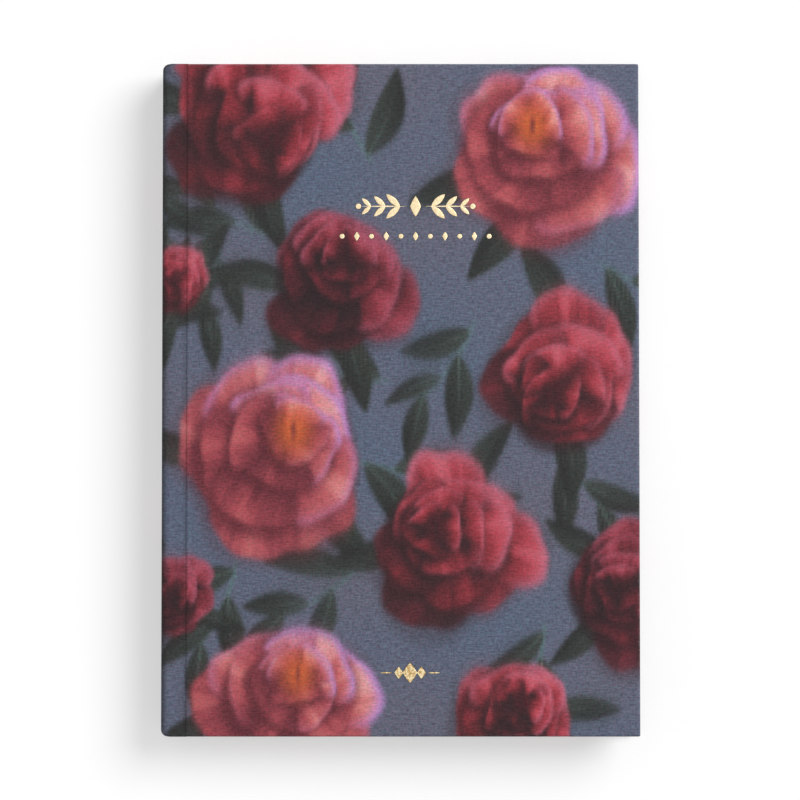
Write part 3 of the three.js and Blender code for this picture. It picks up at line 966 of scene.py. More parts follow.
def cloth_finish():
    """The print, shaded by the threads, tinted in places and rubbed at the edges."""
    cloth = Finish("printed_linen", srgb(*GROUND), Roughness=0.88, Specular_IOR_Level=0.25, Sheen_Weight=0.12,
                   Sheen_Roughness=0.5)
    # The yarn, and how it is woven
    warp = cloth.noise(cloth.place("UV", (1 / THREAD, 1 / WARP_SLUB, 1)), detail=3)
    weft = cloth.noise(cloth.place("UV", (1 / WEFT_SLUB, 0.85 / THREAD, 1)), detail=3)
    fleck = cloth.noise(cloth.place("UV", (1.1, 1.3, 1)), detail=3)
    yarn = cloth.plus(cloth.times(warp, 0.37), cloth.times(weft, 0.63))
    grain = cloth.plus(cloth.times(yarn, 0.62), cloth.times(fleck, 0.38))
    threads = cloth.place("UV", (2 * np.pi / THREAD, 2 * np.pi / THREAD, 1))
    across_thread, along_thread, _ = cloth.axes(threads)
    weave = cloth.times(cloth.maths("SINE", across_thread), cloth.maths("SINE", along_thread))
    # How much darker or paler than the print they are
    # The print attribute also holds painted shade in the crease and on the spine's corner, and a painted
    # highlight.
    ink = cloth.add("VertexColor", settings={"layer_name": "print"})
    shade = cloth.maths("SUBTRACT", cloth.spread(grain, 0.37, 0.63, 0.56, 1.42), 1.0)
    red = cloth.add("SeparateColor", _0=ink)
    shade = cloth.maths("MULTIPLY_ADD", shade, cloth.spread(red, 0.12, 0.45, 1.0, 0.6), 1.0)
    shade = cloth.times(shade, cloth.spread(weave, -1, 1, 0.975, 1.025))
    # Patches a little warmer and cooler, and the rubbed edges
    heather = cloth.noise(cloth.place("UV", (0.9, 1.4, 1)), detail=3)
    tint = cloth.mix(cloth.spread(heather, 0.38, 0.62), srgb(255, 240, 250), srgb(238, 255, 255))
    colour = cloth.add("VectorMath", settings={"operation": "MULTIPLY"}, _0=ink, _1=tint)
    worn = cloth.times(cloth.attribute("wear"), cloth.spread(grain, 0.50, 0.66, 0.0, 0.2))
    cloth.colour_from(cloth.mix(worn, cloth.brighten(colour, shade), srgb(140, 142, 150)))
    cloth.bump(cloth.plus(cloth.times(weave, 0.35), cloth.times(yarn, 2.0)), 0.05, 0.6)
    return cloth


linen = cloth_finish()
print(f"weave of {1 / THREAD:.1f} threads to the millimetre")

# %% [markdown]
# ## The three pieces of the case
#
# The sheet bends at three lines on the real case: at each corner of the spine and at the front crease. A
# piece can bend between two bodies only. It is made here in three pieces, which meet where the cloth is
# flat, at the middle of the spine and the middle of the front joint, with the same points on both sides, so
# no seam shows. For each corner of the spine, bend_at works out a line from the outer corner to the inner
# one, on which a bend keeps the turned-in cloth on its own board.

# %% Where the cloth is worn
def edge_wear(columns_over):
    """The larger of the wear over rows and over columns, 1 on the bends, plus half their product."""
    bend = np.zeros(edge_rows + 1)
    bend[EASE_ROWS - 1:EASE_ROWS + 5] = 0.2, 0.5, 1, 1, 1, 0.5
    rows = bend[row_edge][:, None]
    columns = bend[columns_over][None, :]
    return np.maximum(rows, columns) + 0.5 * rows * columns


def half_wear(columns):
    """Wear over the columns of half the case: its fore-edge and, more lightly, the spine's corner."""
    over_edge = np.zeros(columns, int)
    over_edge[-ring_rows:] = np.arange(EASE_ROWS + 1, edge_rows + 1)
    corner = np.zeros(columns)
    first = len(spine_steps)
    corner[first - 1:first + len(bend_steps)] = 0.7 * np.sin(np.linspace(0, np.pi, len(bend_steps) + 1))
    return np.maximum(edge_wear(over_edge), corner[None, :])


# %% One piece of the case
BACK_STRIDE = 8  # the flat back of the cloth keeps every eighth row and column


def kept(count, edges):
    """Which rows or columns the back of the sheet keeps: all of them where it bends, else every few."""
    inner = np.arange(edges[0], count - edges[1], BACK_STRIDE)
    return np.unique(np.concatenate([np.arange(edges[0] + 1), inner, np.arange(count - edges[1] - 1, count)]))


def case_piece(name, face, back, flat, ink, columns, bends):
    """One piece of the sheet: a slice of columns, as a closed sheet with its print, painted shade and wear."""
    wear = half_wear(face.shape[1])[:, columns]
    face, back, ink, flat = face[:, columns], back[:, columns], ink[:, columns], flat[columns]
    uv = np.stack(np.broadcast_arrays(flat[None, :], flat_y[:, None]), -1)
    keep = (kept(len(flat_y), (edge_rows, edge_rows)), kept(face.shape[1], bends))
    piece = make_sheet(name, face, back, linen, uv, {"print": ink, "wear": wear}, keep)
    return piece


# %% Where a bend would lie
BEND_REACH = 0.35  # mm of cloth to each side of a bend's line


def point(x, z=0.0):
    """A point of the frame, which counts in metres."""
    return (x * MM, 0, z * MM)


def bend_at(corner, inner):
    """Start and end of a bend: half way from the outer corner (x, z) to the inner one, and from there
    to both sides, at a right angle to the line between them."""
    corner, inner = np.array(corner), np.array(inner)
    line = inner - corner
    normal = np.array([-line[1], line[0]]) * np.sign(line[0]) / np.hypot(*line)
    middle = (corner + inner) / 2
    return point(*(middle - BEND_REACH * normal)), point(*(middle + BEND_REACH * normal))


# %% The three pieces
joint_columns = len(spine_steps) + len(bend_steps) + len(joint_steps)
seam = joint_columns - len(joint_steps) // 2
to_board = joint_columns + len(crease_columns)
spine_inside = spine_x + spine_wrap

back_case = case_piece("back_case_cloth", lower_face, lower_back, lower_flat, lower_ink,
                       slice(0, None), (to_board, ring_rows))
corner_case = case_piece("corner_case_cloth", front_face, front_back, front_flat, front_ink,
                         slice(0, seam + 1), (0, len(bend_steps) + len(joint_steps)))
front_case = case_piece("front_case_cloth", front_face, front_back, front_flat, front_ink,
                        slice(seam, None), (to_board - seam, ring_rows))

start, end = bend_at((spine_x, top_z), (spine_inside, top_z - hem_wrap))
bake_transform(corner_case)
start, end = bend_at((spine_x, 0), (spine_inside, hem_wrap))
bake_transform(back_case)
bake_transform(front_case)
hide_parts("back_cover_cloth", "spine_cloth")
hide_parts("front_joint_cloth")
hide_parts("front_cover_cloth")

# %% [markdown]
# ## Gold foil
#
# Two lines and a small mark are stamped on the front cover in gold foil. No words are copied, so each place
# holds a plain ornament of the same size: a sprig, a row of beads and a mark of three lozenges. Every element
# is a disc in polar coordinates whose outline is a superellipse, |x/a|^p + |y/b|^p = 1, which is an ellipse
# at p = 2 and a lozenge at p = 1. The foil is a hair thicker in its middle than at its rim, where it sinks
# into the cloth.

# %% One element of foil
FOIL_HEIGHT = 0.03  # mm that its middle stands over the cloth
FOIL_SINK = 0.03  # mm that its underside lies below the cloth's face
FOIL_RIM = 0.16  # width of the dark rim, painted shade for the edge that the stamp presses into the cloth
FOIL_AROUND = 32  # points round an outline
FOIL_RINGS = np.array([  # share of the outline, share of the rim beyond it, height from -1 to 1
    (0.0, 0, 1.0), (0.55, 0, 0.97), (0.9, 0, 0.75), (1.0, 0, 0.2),
    (1.0, 1, 0.1), (1.0, 1, -1.0), (0.0, 0, -1.0),
])
GOLD_RINGS = 3  # bands between rings that are gold; those outside them are the dark rim of painted shade


def foil_element(x, y, half_long, half_wide, power, angle=0.0):
    """Points of one disc: rings at growing shares of the outline, its pressed rim and its underside."""
    around = np.linspace(0, 2 * np.pi, FOIL_AROUND, endpoint=False)
    cosine, sine = np.cos(around), np.sin(around)
    radius = (np.abs(cosine / half_long) ** power + np.abs(sine / half_wide) ** power) ** (-1 / power)
    share, rim, height = FOIL_RINGS.T[:, :, None]
    reach = share * radius + rim * FOIL_RIM
    along, side = reach * cosine, reach * sine
    lift = np.where(height > 0, height * FOIL_HEIGHT, height * FOIL_SINK)
    return np.stack([
        x + along * np.cos(angle) - side * np.sin(angle),
        y + along * np.sin(angle) + side * np.cos(angle),
        top_z + lift + 0 * along,
    ], -1)


# %% The ornament: lists of x, y, half length, half width, power and angle
LEAF_TILT = 0.75  # radians between the sprig's leaves and its stem


def sprig():
    """A lozenge between two stems, with three pairs of leaves on each that get smaller outwards."""
    elements = [(0, 0, 1.7, 3.3, 1.15, 0.0)]
    for side in (-1, 1):
        elements.append((side * 10.3, 0, 7.6, 0.22, 2.0, 0.0))
        for number in range(3):
            root = 5.2 + 4.6 * number
            size = 3.0 - 0.5 * number
            for up in (-1, 1):
                middle_x = side * (root + 0.9 * size * np.cos(LEAF_TILT))
                middle_y = up * 0.9 * size * np.sin(LEAF_TILT)
                elements.append((middle_x, middle_y, size, size * 0.34, 1.45, up * side * LEAF_TILT))
        elements.append((side * 18.3, 0, 0.85, 0.85, 2.0, 0.0))
    return elements


def beads():
    """Eleven small shapes in a row, lozenges and dots by turns."""
    lozenge, dot = (0.85, 1.45, 1.1, 0.0), (0.75, 0.75, 2.0, 0.0)
    return [(4.7 * (number - 5), 0, *(lozenge if number % 2 else dot)) for number in range(11)]


def mark():
    """Three lozenges between two short rules."""
    lozenges = [(dx, 0, size * 0.72, size, 1.1, 0.0) for dx, size in ((-3.6, 1.9), (0, 3.2), (3.6, 1.9))]
    return lozenges + [(side * 7.6, 0, 2.0, 0.2, 2.0, 0.0) for side in (-1, 1)]


places = [  # what stands where, by its middle in mm
    (sprig(), 4.8, 61.6),
    (beads(), 4.8, 52.0),
    (mark(), 3.0, -87.2),
]
discs = [foil_element(x + dx, y + dy, *shape) for elements, x, y in places for dx, dy, *shape in elements]
print(f"{len(discs)} elements of foil")

# %% Gold, and a rim of painted shade round it
MARK_TOP = 0.0  # y below which the foil is the mark, stamped later and more worn


def gold_finish():
    """Crinkled gold that takes up the grain of the cloth, and is more worn in the mark."""
    gold = Finish("gold_foil", srgb(255, 226, 160), Metallic=1.0, Roughness=0.36)
    crinkle = gold.noise(gold.place(scale=(1.6, 1.6, 1.6)), detail=5)
    grain = gold.noise(gold.place(scale=(1 / THREAD, 1 / THREAD, 1)), detail=1)
    height_up = gold.axes(gold.place())[1]
    fresh = gold.mix(gold.spread(crinkle, 0.35, 0.65), srgb(226, 202, 158), srgb(242, 224, 188))
    worn = gold.mix(gold.spread(crinkle, 0.40, 0.60), srgb(184, 148, 90), srgb(238, 222, 180))
    tone = gold.mix(gold.maths("GREATER_THAN", height_up, MARK_TOP), worn, fresh)
    gold.colour_from(gold.brighten(tone, gold.spread(grain, 0.3, 0.7, 0.84, 1.08)))
    gold.bump(gold.plus(crinkle, gold.times(grain, 0.4)), 0.05, 0.8)
    return gold


# The dark rim round each element is painted shade for the edge that the stamp presses into the cloth.
rim_shade = Finish("painted_rim_shade", srgb(50, 46, 52), Roughness=0.8, Specular_IOR_Level=0.2)
rim_shade_grain = rim_shade.noise(rim_shade.place(scale=(2, 2, 2)), detail=2)
rim_shade.colour_from(rim_shade.mix(rim_shade_grain, srgb(34, 32, 38), srgb(70, 66, 74)))

rings, points_each = len(FOIL_RINGS), len(FOIL_RINGS) * FOIL_AROUND
foil_faces = np.concatenate([tube_faces(rings, FOIL_AROUND, n * points_each) for n in range(len(discs))])
band_of_face = np.arange((rings - 1) * FOIL_AROUND) // FOIL_AROUND
on_rim = np.tile(band_of_face >= GOLD_RINGS, len(discs))
foil = make_piece("gold_foil_ornament", np.concatenate(discs).reshape(-1, 3), [foil_faces], gold_finish(),
                  sharp=60, second=(rim_shade, on_rim))
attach(foil, "front_cover")

# %% [markdown]
# ## The sewn sections
#
# Thirteen sections of eight leaves make the block. A section is a stack of outlines: every leaf gives three,
# two where its edge stands out and one in the groove under it, each a little in or out of line, as trimmed
# paper is. At the back the outlines follow the rounded fold, and near the fold the columns lie close
# together. A stack of plain boxes would not have the grooves.
#
# Paper is a faint cloud and fibres. On the trimmed edges painted shade darkens the grooves between leaves,
# and each leaf has its own tint.
# The two pages that the middle opening shows are ruled for a week; there the ruling reads the page's UV map.

# %% Paper finishes
PAGE = (233, 228, 215)
TRIMMED = (243, 239, 228)  # the cut edges of a block, where the light comes through the fibres
LINE_PITCH, DAY_PITCH = 6.0, 48.0  # mm between fine lines, and between the heavier ones over each day
RULING_X, RULING_Y = (-54, 66), (-97, 97.5)  # mm, the part of the page that is ruled
MARGIN_X, MARGIN_Y = -38, (-96, 96)  # mm, the upright line beside the room for a day's name


def paper_finish(name, colour, edges=False):
    """Uncoated paper; on trimmed edges, painted shade in the grooves and leaves of slightly different tints."""
    paper = Finish(name, srgb(*colour), Roughness=0.82, Specular_IOR_Level=0.3)
    cloudy = paper.noise(paper.place("UV", (0.05, 0.05, 1)), detail=3)
    fibre = paper.noise(paper.place("UV", (2.2, 5.0, 1)), detail=4)
    shade = paper.plus(paper.spread(cloudy, 0.3, 0.7, -0.02, 0.02), paper.spread(fibre, 0.3, 0.7, 0.99, 1.01))
    # Painted shade: the groove attribute darkens the gaps between leaves, where shade falls.
    for key, darkest in (("groove", 0.40), ("tint", 0.85)) if edges else ():
        shade = paper.times(shade, paper.spread(paper.attribute(key), 0, 1, 1.0, darkest))
    paper.tone = paper.brighten(srgb(*colour)[:3], shade)
    paper.colour_from(paper.tone)
    paper.bump(fibre, 0.01, 0.5)
    return paper


def ruled_finish(name, colour):
    """The same paper with a week's ruling."""
    paper = paper_finish(name, colour)
    x, y, _ = paper.axes(paper.place("UV"))

    def lines(pitch, width):
        """1 on lines that lie pitch apart, and 0 off them."""
        return paper.spread(paper.maths("PINGPONG", y, pitch / 2), width / 2, width, 1.0, 0.0)

    def within(value, low, high):
        """1 between low and high, and 0 outside."""
        return paper.times(paper.maths("GREATER_THAN", value, low), paper.maths("LESS_THAN", value, high))

    across_page = paper.maths("MAXIMUM", paper.times(lines(LINE_PITCH, 0.16), 0.45), lines(DAY_PITCH, 0.4))
    across_page = paper.times(across_page, paper.times(within(x, *RULING_X), within(y, *RULING_Y)))
    upright = paper.times(within(x, MARGIN_X - 0.09, MARGIN_X + 0.09), within(y, *MARGIN_Y))
    ruled = paper.maths("MAXIMUM", across_page, paper.times(upright, 0.5))
    paper.colour_from(paper.mix(ruled, paper.tone, srgb(92, 98, 116)))
    return paper


page = paper_finish("page_paper", PAGE)
page_edges = paper_finish("page_edges", TRIMMED, edges=True)
week_page = ruled_finish("week_page", PAGE)

# %% The outlines of one section
SECTIONS = 13
LAST_FRONT_SECTION = 6
LEAVES = 8  # in a section
LEAF_GROOVE = 0.05  # mm that the gap between two leaves lies in from their edges
LEAF_STRAY, SECTION_STRAY = 0.04, 0.05  # mm by which leaves and sections are out of line
OUTLINE_SHARES = (0.0, 0.3, 0.7)  # where in a leaf's thickness its outlines lie; the first is the groove
END_GROOVE_SHADE = 0.4  # how dark the painted shade is in the groove between two sections
BEND_END = -64.0  # x up to which the section's columns lie close together, from the fold

fold_x = box_mm("section_01_fold")[0][0]
leaf_x = box_mm("section_01_leaves")[1][0]
leaf_y = box_mm("section_01_leaves")[1][1]
bent_columns = np.linspace(fold_x + 0.4, BEND_END, 22)
page_columns = np.concatenate([bent_columns, [-58, -45, -20, 10, 45]])


def section_outlines(number):
    """For each outline: its height, how far in it lies, the painted shade of its groove, and its tint."""
    low, high = box_mm(f"section_{number:02d}_leaves")
    scatter = np.random.default_rng(number)
    thick = (high[2] - low[2]) / LEAVES
    edges = scatter.uniform(0, LEAF_STRAY, LEAVES) + scatter.uniform(0, SECTION_STRAY)
    heights = low[2] + thick * (np.arange(LEAVES)[:, None] + np.array(OUTLINE_SHARES))
    insets = edges[:, None] + np.array([LEAF_GROOVE, 0, 0])
    grooves = np.repeat([[1.0, 0.0, 0.0]], LEAVES, 0)
    grooves[0, 0] = END_GROOVE_SHADE
    tints = np.repeat(scatter.uniform(0, 1, LEAVES) ** 2, 3)
    return (np.append(heights, high[2]), np.append(insets, LEAF_GROOVE + edges[-1]),
            np.append(grooves, END_GROOVE_SHADE), np.append(tints, tints[-1]))


print(f"leaves of {leaf_x - fold_x:.1f} x {2 * leaf_y:.1f} mm, {LEAVES} in a section")

# %% Sections
def section_piece(number):
    """A tube of outlines, each from the fold along one long side and back along the other, with two caps."""
    heights, insets, grooves, tints = section_outlines(number)
    radius = (heights[-1] - heights[0]) / 2
    rise = heights - heights[0] - radius
    back = fold_x + radius - np.sqrt(np.maximum(radius ** 2 - rise ** 2, 0))
    inner = np.repeat(page_columns[None, :], len(heights), 0)
    columns = np.concatenate([back[:, None], inner, (leaf_x - insets)[:, None]], 1)
    width = columns.shape[1]
    x = np.concatenate([columns, columns[:, ::-1]], 1)
    y = np.repeat([1, -1], width)[None, :] * (leaf_y - insets[:, None])
    z = np.repeat(heights[:, None], x.shape[1], 1)
    points = np.stack([x, y, z], -1).reshape(-1, 3)

    rows, round_it = x.shape
    walls = tube_faces(rows, round_it)
    caps = []
    for row in (0, rows - 1):
        up = row * round_it + np.arange(width)
        down = row * round_it + np.arange(round_it - 1, width - 1, -1)
        caps.append(np.stack([up[:-1], up[1:], down[1:], down[:-1]], -1))
    on_face = np.repeat([0, 1], [len(walls), len(caps[0]) + len(caps[1])])
    ruled = number in (LAST_FRONT_SECTION, LAST_FRONT_SECTION + 1)
    values = {"groove": np.repeat(grooves, round_it), "tint": np.repeat(tints, round_it)}
    return make_piece(f"section_{number:02d}", points, [np.concatenate([walls] + caps)], page_edges,
                      points[:, :2], values, sharp=60, second=(week_page if ruled else page, on_face))


for number in range(1, SECTIONS + 1):
    section = section_piece(number)
    if number <= LAST_FRONT_SECTION:
        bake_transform(section)
    else:
        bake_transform(section)
    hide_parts(f"section_{number:02d}_fold", f"section_{number:02d}_leaves")

# %% [markdown]
# ## Endpapers
#
# A folded sheet joins the block to each board. One half is pasted to the board: it lies over the turned-in
# cloth, dips to the board between them, and shows the edge of the gauze under it as a faint step. It then
# runs up into the joint and down to the fold round the block's shoulder. The other half is the loose
# flyleaf. Three pieces make it on each side: the pasted half, the fold round the shoulder and the flyleaf.
# At the back the pasted half and the flyleaf go with the back cover.

# %% Sheets of paper
PAPER = 0.15  # thickness of the endpaper
RIM_DEEP = 3.425  # depth of the pasted paper's middle under the cover's face, on the turn-ins
BOARD_DEEP = 3.04  # and on the board
MULL_STEP = 0.13  # how much the gauze lifts it there
FLY_DEEP = 3.625  # depth of the flyleaf's middle
FLY_BEND = 14.0  # how far from its fold the flyleaf's columns lie close together

endpaper = paper_finish("endpaper", (232, 228, 218))


def paper_sheet(name, x, deep, reach_y, side, sharp=SHARP):
    """A sheet of paper along a path: x and deep are grids of its middle, offset by half its thickness.

    The offset is along the path's normal, which is its direction turned by a quarter.
    """
    direction = np.stack([np.gradient(x, axis=1), np.gradient(deep, axis=1)], -1)
    direction /= np.linalg.norm(direction, axis=-1, keepdims=True)
    y = np.repeat(reach_y[:, None], x.shape[1], 1)
    faces = []
    for offset in (PAPER / 2, -PAPER / 2):
        depth = deep + offset * direction[..., 0]
        height = top_z - depth if side == "front" else depth
        faces.append(np.stack([x - offset * direction[..., 1], y, height], -1))
    length = np.concatenate([[0], np.cumsum(np.hypot(np.diff(x[0]), np.diff(deep[0])))]) + x[0, 0]
    uv = np.stack(np.broadcast_arrays(length[None, :], reach_y[:, None]), -1)
    return make_sheet(name, *faces, endpaper, uv, sharp=sharp)


def straight_sheet(name, x, deep, side, sharp=SHARP):
    """The same where the path is one line for the whole sheet, from the tail to the head."""
    return paper_sheet(name, np.repeat(x[None, :], 3, 0), np.repeat(deep[None, :], 3, 0),
                       np.array([-leaf_y, 0, leaf_y]), side, sharp)


# %% The pasted half
EDGE_GAP = 0.05  # mm between the paper's dip and the edge of the turned-in cloth
DIP_REACH, MULL_REACH = 0.35, 0.3  # mm to each side of a step, over which the paper takes it
ARCH_DEEP = 1.02  # top of the paper's arch in the joint
ARCH_REACH = 0.30  # half of the arch's width
ARCH_SHIFT = 0.10  # how far its middle lies from the crease, towards the spine
dip_x = fore_x - TURN_IN - EDGE_GAP
dip_y = head_y - TURN_IN - EDGE_GAP
mull_x, mull_y, _ = box_mm("front_mull_flap")[1]


def lines_near(low, high, coarse, *steps):
    """Places from low to high, coarse apart, with a cluster about each step."""
    places = [np.linspace(low, high, int((high - low) / coarse) + 1)]
    places += [np.linspace(step - 0.4, step + 0.4, 7) for step in steps]
    return np.unique(np.round(np.clip(np.concatenate(places), low, high), 4))


def inside_of(edge_x, edge_y, reach, x, y):
    """1 well inside a rectangle's edges and 0 well outside them."""
    return smooth(edge_x + reach, edge_x - reach, x) * smooth(edge_y + reach, edge_y - reach, np.abs(y))


def pasted_depth(x, y):
    """Depth of the pasted paper: on the turn-ins, and lower inside them, where the gauze lifts it again."""
    on_board = inside_of(dip_x, dip_y, DIP_REACH, x, y)
    on_mull = inside_of(mull_x, mull_y, MULL_REACH, x, y)
    return RIM_DEEP - on_board * (RIM_DEEP - BOARD_DEEP - MULL_STEP * on_mull)


def pasted_half(side):
    """The pasted half: an arch up into the joint, drawn as half an oval, and then the sheet on the board."""
    y = lines_near(-leaf_y, leaf_y, 12, -dip_y, -mull_y, mull_y, dip_y)
    flat = lines_near(crease_x + 0.5, leaf_x, 10, mull_x, dip_x)
    angle = np.linspace(0, 180, 17)
    arch_x = crease_x - ARCH_SHIFT - ARCH_REACH * np.cos(np.radians(angle))
    lift = np.clip(np.sin(np.radians(angle)) * 1.3, 0, 1)
    foot = RIM_DEEP + smooth(0, 180, angle)[None, :] * (pasted_depth(flat[0], y)[:, None] - RIM_DEEP)
    deep = np.concatenate([foot - (foot - ARCH_DEEP) * lift, pasted_depth(flat[None, :], y[:, None])], 1)
    x = np.repeat(np.concatenate([arch_x, flat])[None, :], len(y), 0)
    return paper_sheet(f"{side}_endpaper_pasted", x, deep, y, side)


# %% The fold and the flyleaf
FOLD_GAP = 0.05  # mm between the glued fold and the flyleaf, at the gutter
gutter_x = box_mm("front_flyleaf")[0][0]


def fold_round(side):
    """The fold round the block's shoulder: out along the first leaf, half round, and back under the board."""
    small = (FLY_DEEP - RIM_DEEP) / 2
    turn_x = fold_x + small + PAPER / 2
    run_x = np.linspace(gutter_x - FOLD_GAP, turn_x, 14)
    angle = np.radians(np.linspace(0, 180, 9)[1:-1])
    x = np.concatenate([run_x, turn_x - small * np.sin(angle), run_x[::-1]])
    half_way = (FLY_DEEP + RIM_DEEP) / 2 + small * np.cos(angle)
    deep = np.concatenate([0 * run_x + FLY_DEEP, half_way, 0 * run_x + RIM_DEEP])
    return straight_sheet(f"{side}_endpaper_round", x, deep, side, sharp=60)


def loose_half(side):
    """The flyleaf: a flat sheet from the gutter to the fore-edge, with enough columns to curve."""
    x = np.concatenate([np.linspace(gutter_x, gutter_x + FLY_BEND, 25), np.linspace(-50, leaf_x, 9)])
    return straight_sheet(f"{side}_flyleaf_sheet", x, 0 * x + FLY_DEEP, side)


for side in ("front", "back"):
    pasted, folded, loose = pasted_half(side), fold_round(side), loose_half(side)
    if side == "front":
        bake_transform(pasted)
        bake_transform(folded)
        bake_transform(loose)
    else:
        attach(pasted, "back_cover")
        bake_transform(folded)
        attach(loose, "back_cover")
    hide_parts(f"{side}_pastedown")
    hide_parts(f"{side}_endpaper_fold")
    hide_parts(f"{side}_flyleaf")

# %% [markdown]
# ## Head and tail bands
#
# A striped band closes each end of the block's back: silk wound over a core, on a tape that is glued behind
# the folds. Its radius swells and sinks with every turn of silk, so it is a surface of revolution whose
# profile is a row of half sines. A cylinder with a striped image would be smooth at its edge.

# %% Silk
BAND_TURNS = 26
BAND_LENGTH = 11.0  # mm of bead that the turns are spread over, for its stripes
STRIPE_TURNS = 4  # turns of silk in a pair of stripes


def silk_finish():
    """Strands of silk, blue and cream by turns up the band."""
    silk = Finish("silk_band", srgb(86, 98, 130), Roughness=0.5, Sheen_Weight=0.4, Specular_IOR_Level=0.4)
    up = silk.axes(silk.place())[2]
    pairs = silk.maths("DIVIDE", up, BAND_LENGTH / BAND_TURNS * STRIPE_TURNS)
    pale = silk.maths("GREATER_THAN", silk.maths("FRACT", pairs), 0.5)
    strand = silk.noise(silk.place(scale=(3, 3, 14)), detail=3)
    tone = silk.mix(pale, srgb(70, 82, 116), srgb(226, 218, 198))
    silk.colour_from(silk.brighten(tone, silk.spread(strand, 0.3, 0.7, 0.82, 1.14)))
    silk.bump(strand, 0.03, 0.6)
    return silk


silk = silk_finish()
print(f"a pair of stripes every {BAND_LENGTH / BAND_TURNS * STRIPE_TURNS:.1f} mm")

# %% The bead and the tape
BAND_SWELL = 0.10  # how far each turn of silk stands out
BAND_SIDES = 20
BAND_LEAN = 0.35  # how much of a turn the silk climbs to the far side of the bead
TURN_STEPS = 6  # rows in a turn of silk
TAPE_LENGTH = 9.5  # mm of tape behind the folds
TAPE_ROWS, TAPE_COLUMNS = 12, 23
TAPE_RIPPLE, RIPPLE_PITCH = 0.02, 1.0  # mm

tape_low, tape_high = box_mm("sewing_thread_1")  # the tape lies where the thread does


def band_bead(bead_y, low_z, high_z, radius):
    """The wound bead, as rings with closed ends. Their radius is r less a swell times (1 - |sine|), and
    each ring climbs by a sine of the angle round the bead."""
    t = np.linspace(0, 1, BAND_TURNS * TURN_STEPS + 1)
    lobes = radius - BAND_SWELL * (1 - np.abs(np.sin(np.pi * BAND_TURNS * t)))
    end = lobes[0] * 0.8
    lobes = np.concatenate([[0.0, end], lobes[1:-1], [end, 0.0]])
    heights = low_z + (high_z - low_z) * np.concatenate([[0], t, [1]])
    angle = np.linspace(0, 2 * np.pi, BAND_SIDES + 1)
    climb = (high_z - low_z) / BAND_TURNS * BAND_LEAN * np.sin(angle)
    off_ends = np.clip(np.minimum(heights - low_z, high_z - heights), 0, 1)[:, None]
    return np.stack([
        fold_x + lobes[:, None] * np.cos(angle),
        bead_y + lobes[:, None] * np.sin(angle),
        heights[:, None] + climb * off_ends,
    ], -1)


def band_tape(bead_y, end, low_z, high_z):
    """The face and back of the tape. The face ripples by a cosine, from the silk that is wound round it."""
    y = np.linspace(bead_y, end * (abs(bead_y) - TAPE_LENGTH), TAPE_ROWS)
    z = np.linspace(low_z, high_z, TAPE_COLUMNS)
    y, z = np.meshgrid(y, z, indexing="ij")
    ripple = TAPE_RIPPLE * np.cos(2 * np.pi * z / RIPPLE_PITCH)
    face = np.stack([tape_low[0] + TAPE_RIPPLE + ripple, y, z], -1)
    back = np.stack([0 * z + tape_high[0] - TAPE_RIPPLE, y, z], -1)
    return face, back


# %% Bands
def band_piece(name, end):
    """One band, bead and tape, at the head where end is 1 and at the tail where it is -1."""
    low, high = box_mm(name)
    radius = high[0] - fold_x
    bead_y = end * (max(abs(low[1]), abs(high[1])) - radius)
    bead = band_bead(bead_y, low[2], high[2], radius)
    tape = band_tape(bead_y, end, low[2], high[2])
    tape_faces = sheet_faces(TAPE_ROWS, TAPE_COLUMNS, np.arange(TAPE_ROWS), np.arange(TAPE_COLUMNS))
    bead_points = bead.shape[0] * bead.shape[1]
    points = np.concatenate([part.reshape(-1, 3) for part in (bead, *tape)])
    faces = [grid_faces(*bead.shape[:2])] + [f + bead_points for f in tape_faces]
    return make_piece(name + "_silk", points, faces, silk, sharp=60)


for name, end in (("headband", 1), ("tailband", -1)):
    band = band_piece(name, end)
    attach(band, "spine")
    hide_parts(name)

# %% [markdown]
# ## What lies inside
#
# The boards, the gauze, the lining and the thread have the right shape in the frame already, so they stay
# and only get their finish: grey millboard with flecks, open gauze, brown lining paper and waxed thread.

# %% Finishes of the inner parts
GAUZE_MESH = 0.9  # mm from one thread of the gauze to the next but one
TWIST = 24.0  # radians by which the thread's plies turn in a millimetre

greyboard = Finish("greyboard", srgb(139, 133, 119), Roughness=0.92, Specular_IOR_Level=0.2)
fleck = greyboard.noise(greyboard.place(scale=(2.5, 2.5, 6)), detail=6)
layer = greyboard.noise(greyboard.place(scale=(0.4, 0.4, 9)), detail=2)
tone = greyboard.mix(greyboard.spread(fleck, 0.35, 0.65), srgb(118, 112, 100), srgb(158, 152, 138))
greyboard.colour_from(greyboard.brighten(tone, greyboard.spread(layer, 0.35, 0.65, 0.92, 1.06)))
greyboard.bump(fleck, 0.04, 0.6)

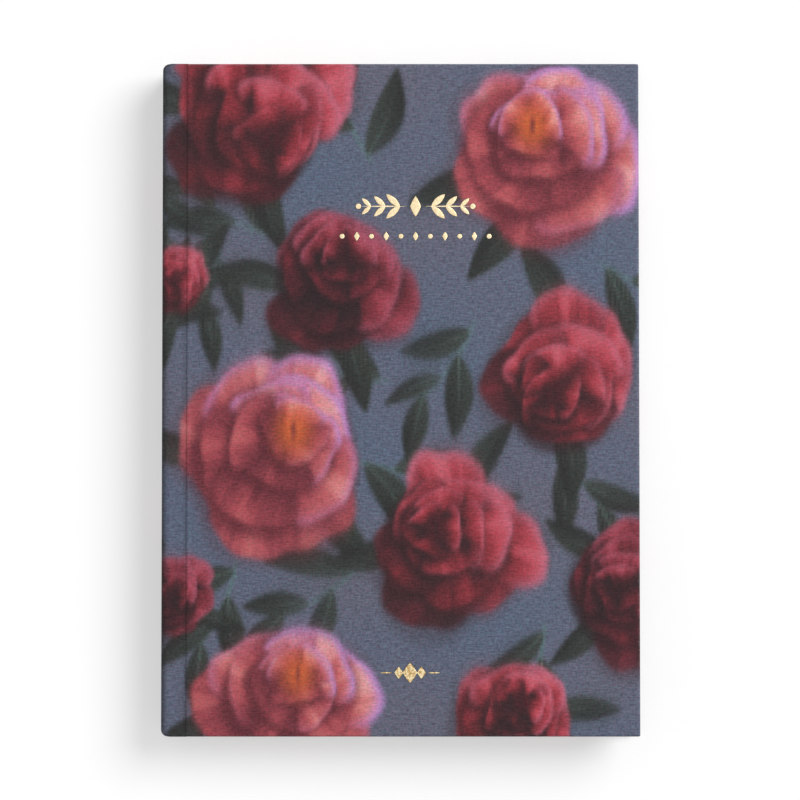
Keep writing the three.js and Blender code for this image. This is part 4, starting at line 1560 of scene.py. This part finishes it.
gauze = Finish("gauze", srgb(230, 223, 203), Roughness=0.95, Specular_IOR_Level=0.2)
mesh_place = gauze.axes(gauze.place(scale=(2 * np.pi / GAUZE_MESH,) * 3))
cells = [gauze.maths("ABSOLUTE", gauze.maths("SINE", mesh_place[axis])) for axis in range(3)]
holes = gauze.times(gauze.maths("MAXIMUM", cells[0], cells[2]), cells[1])
gauze.colour_from(gauze.mix(gauze.spread(holes, 0.45, 0.75), srgb(234, 228, 210), srgb(176, 166, 142)))
gauze.bump(gauze.maths("SUBTRACT", 1.0, holes), 0.08, 0.8)

kraft = Finish("lining_paper", srgb(178, 148, 108), Roughness=0.85, Specular_IOR_Level=0.25)
fibres = kraft.noise(kraft.place(scale=(3, 1.2, 3)), detail=5)
kraft.colour_from(kraft.mix(kraft.spread(fibres, 0.3, 0.7), srgb(160, 130, 92), srgb(194, 164, 122)))
kraft.bump(fibres, 0.03, 0.5)

thread = Finish("waxed_thread", srgb(240, 236, 224), Roughness=0.6, Specular_IOR_Level=0.35)
_, thread_y, thread_z = thread.axes(thread.place())
twist = thread.maths("SINE", thread.times(thread.plus(thread_y, thread_z), TWIST))
thread.colour_from(thread.mix(thread.spread(twist, -1, 1), srgb(214, 206, 186), srgb(246, 242, 230)))
thread.bump(twist, 0.04, 0.7)

# %% Each inner part gets its finish
inner = (
    (greyboard, "board", ["front_board", "back_board", "spine_board"]),
    (gauze, "mull", ["front_mull_flap", "back_mull_flap", "spine_mull"]),
    (kraft, "lining_paper", ["spine_lining"]),
    (thread, "sewing_thread", [f"sewing_thread_{row}" for row in range(1, 5)]),
)
for finish, slot, names in inner:
    for name in names:
        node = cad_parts[name]
        node.material_slots[0].material = finish.material
print(f"{sum(len(names) for *_, names in inner)} inner parts keep their solids")

# %% [markdown]
# ## Size and finish
#
# The drawn planner should keep the size of the CAD one, so both boxes are printed side by side.

# %% Sizes, and the end
drawn_box = [list(corner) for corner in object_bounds()]
for label, box in (("cad", cad_box), ("drawn", drawn_box)):
    print(label, [round((high - low) / MM, 2) for low, high in zip(*box)])
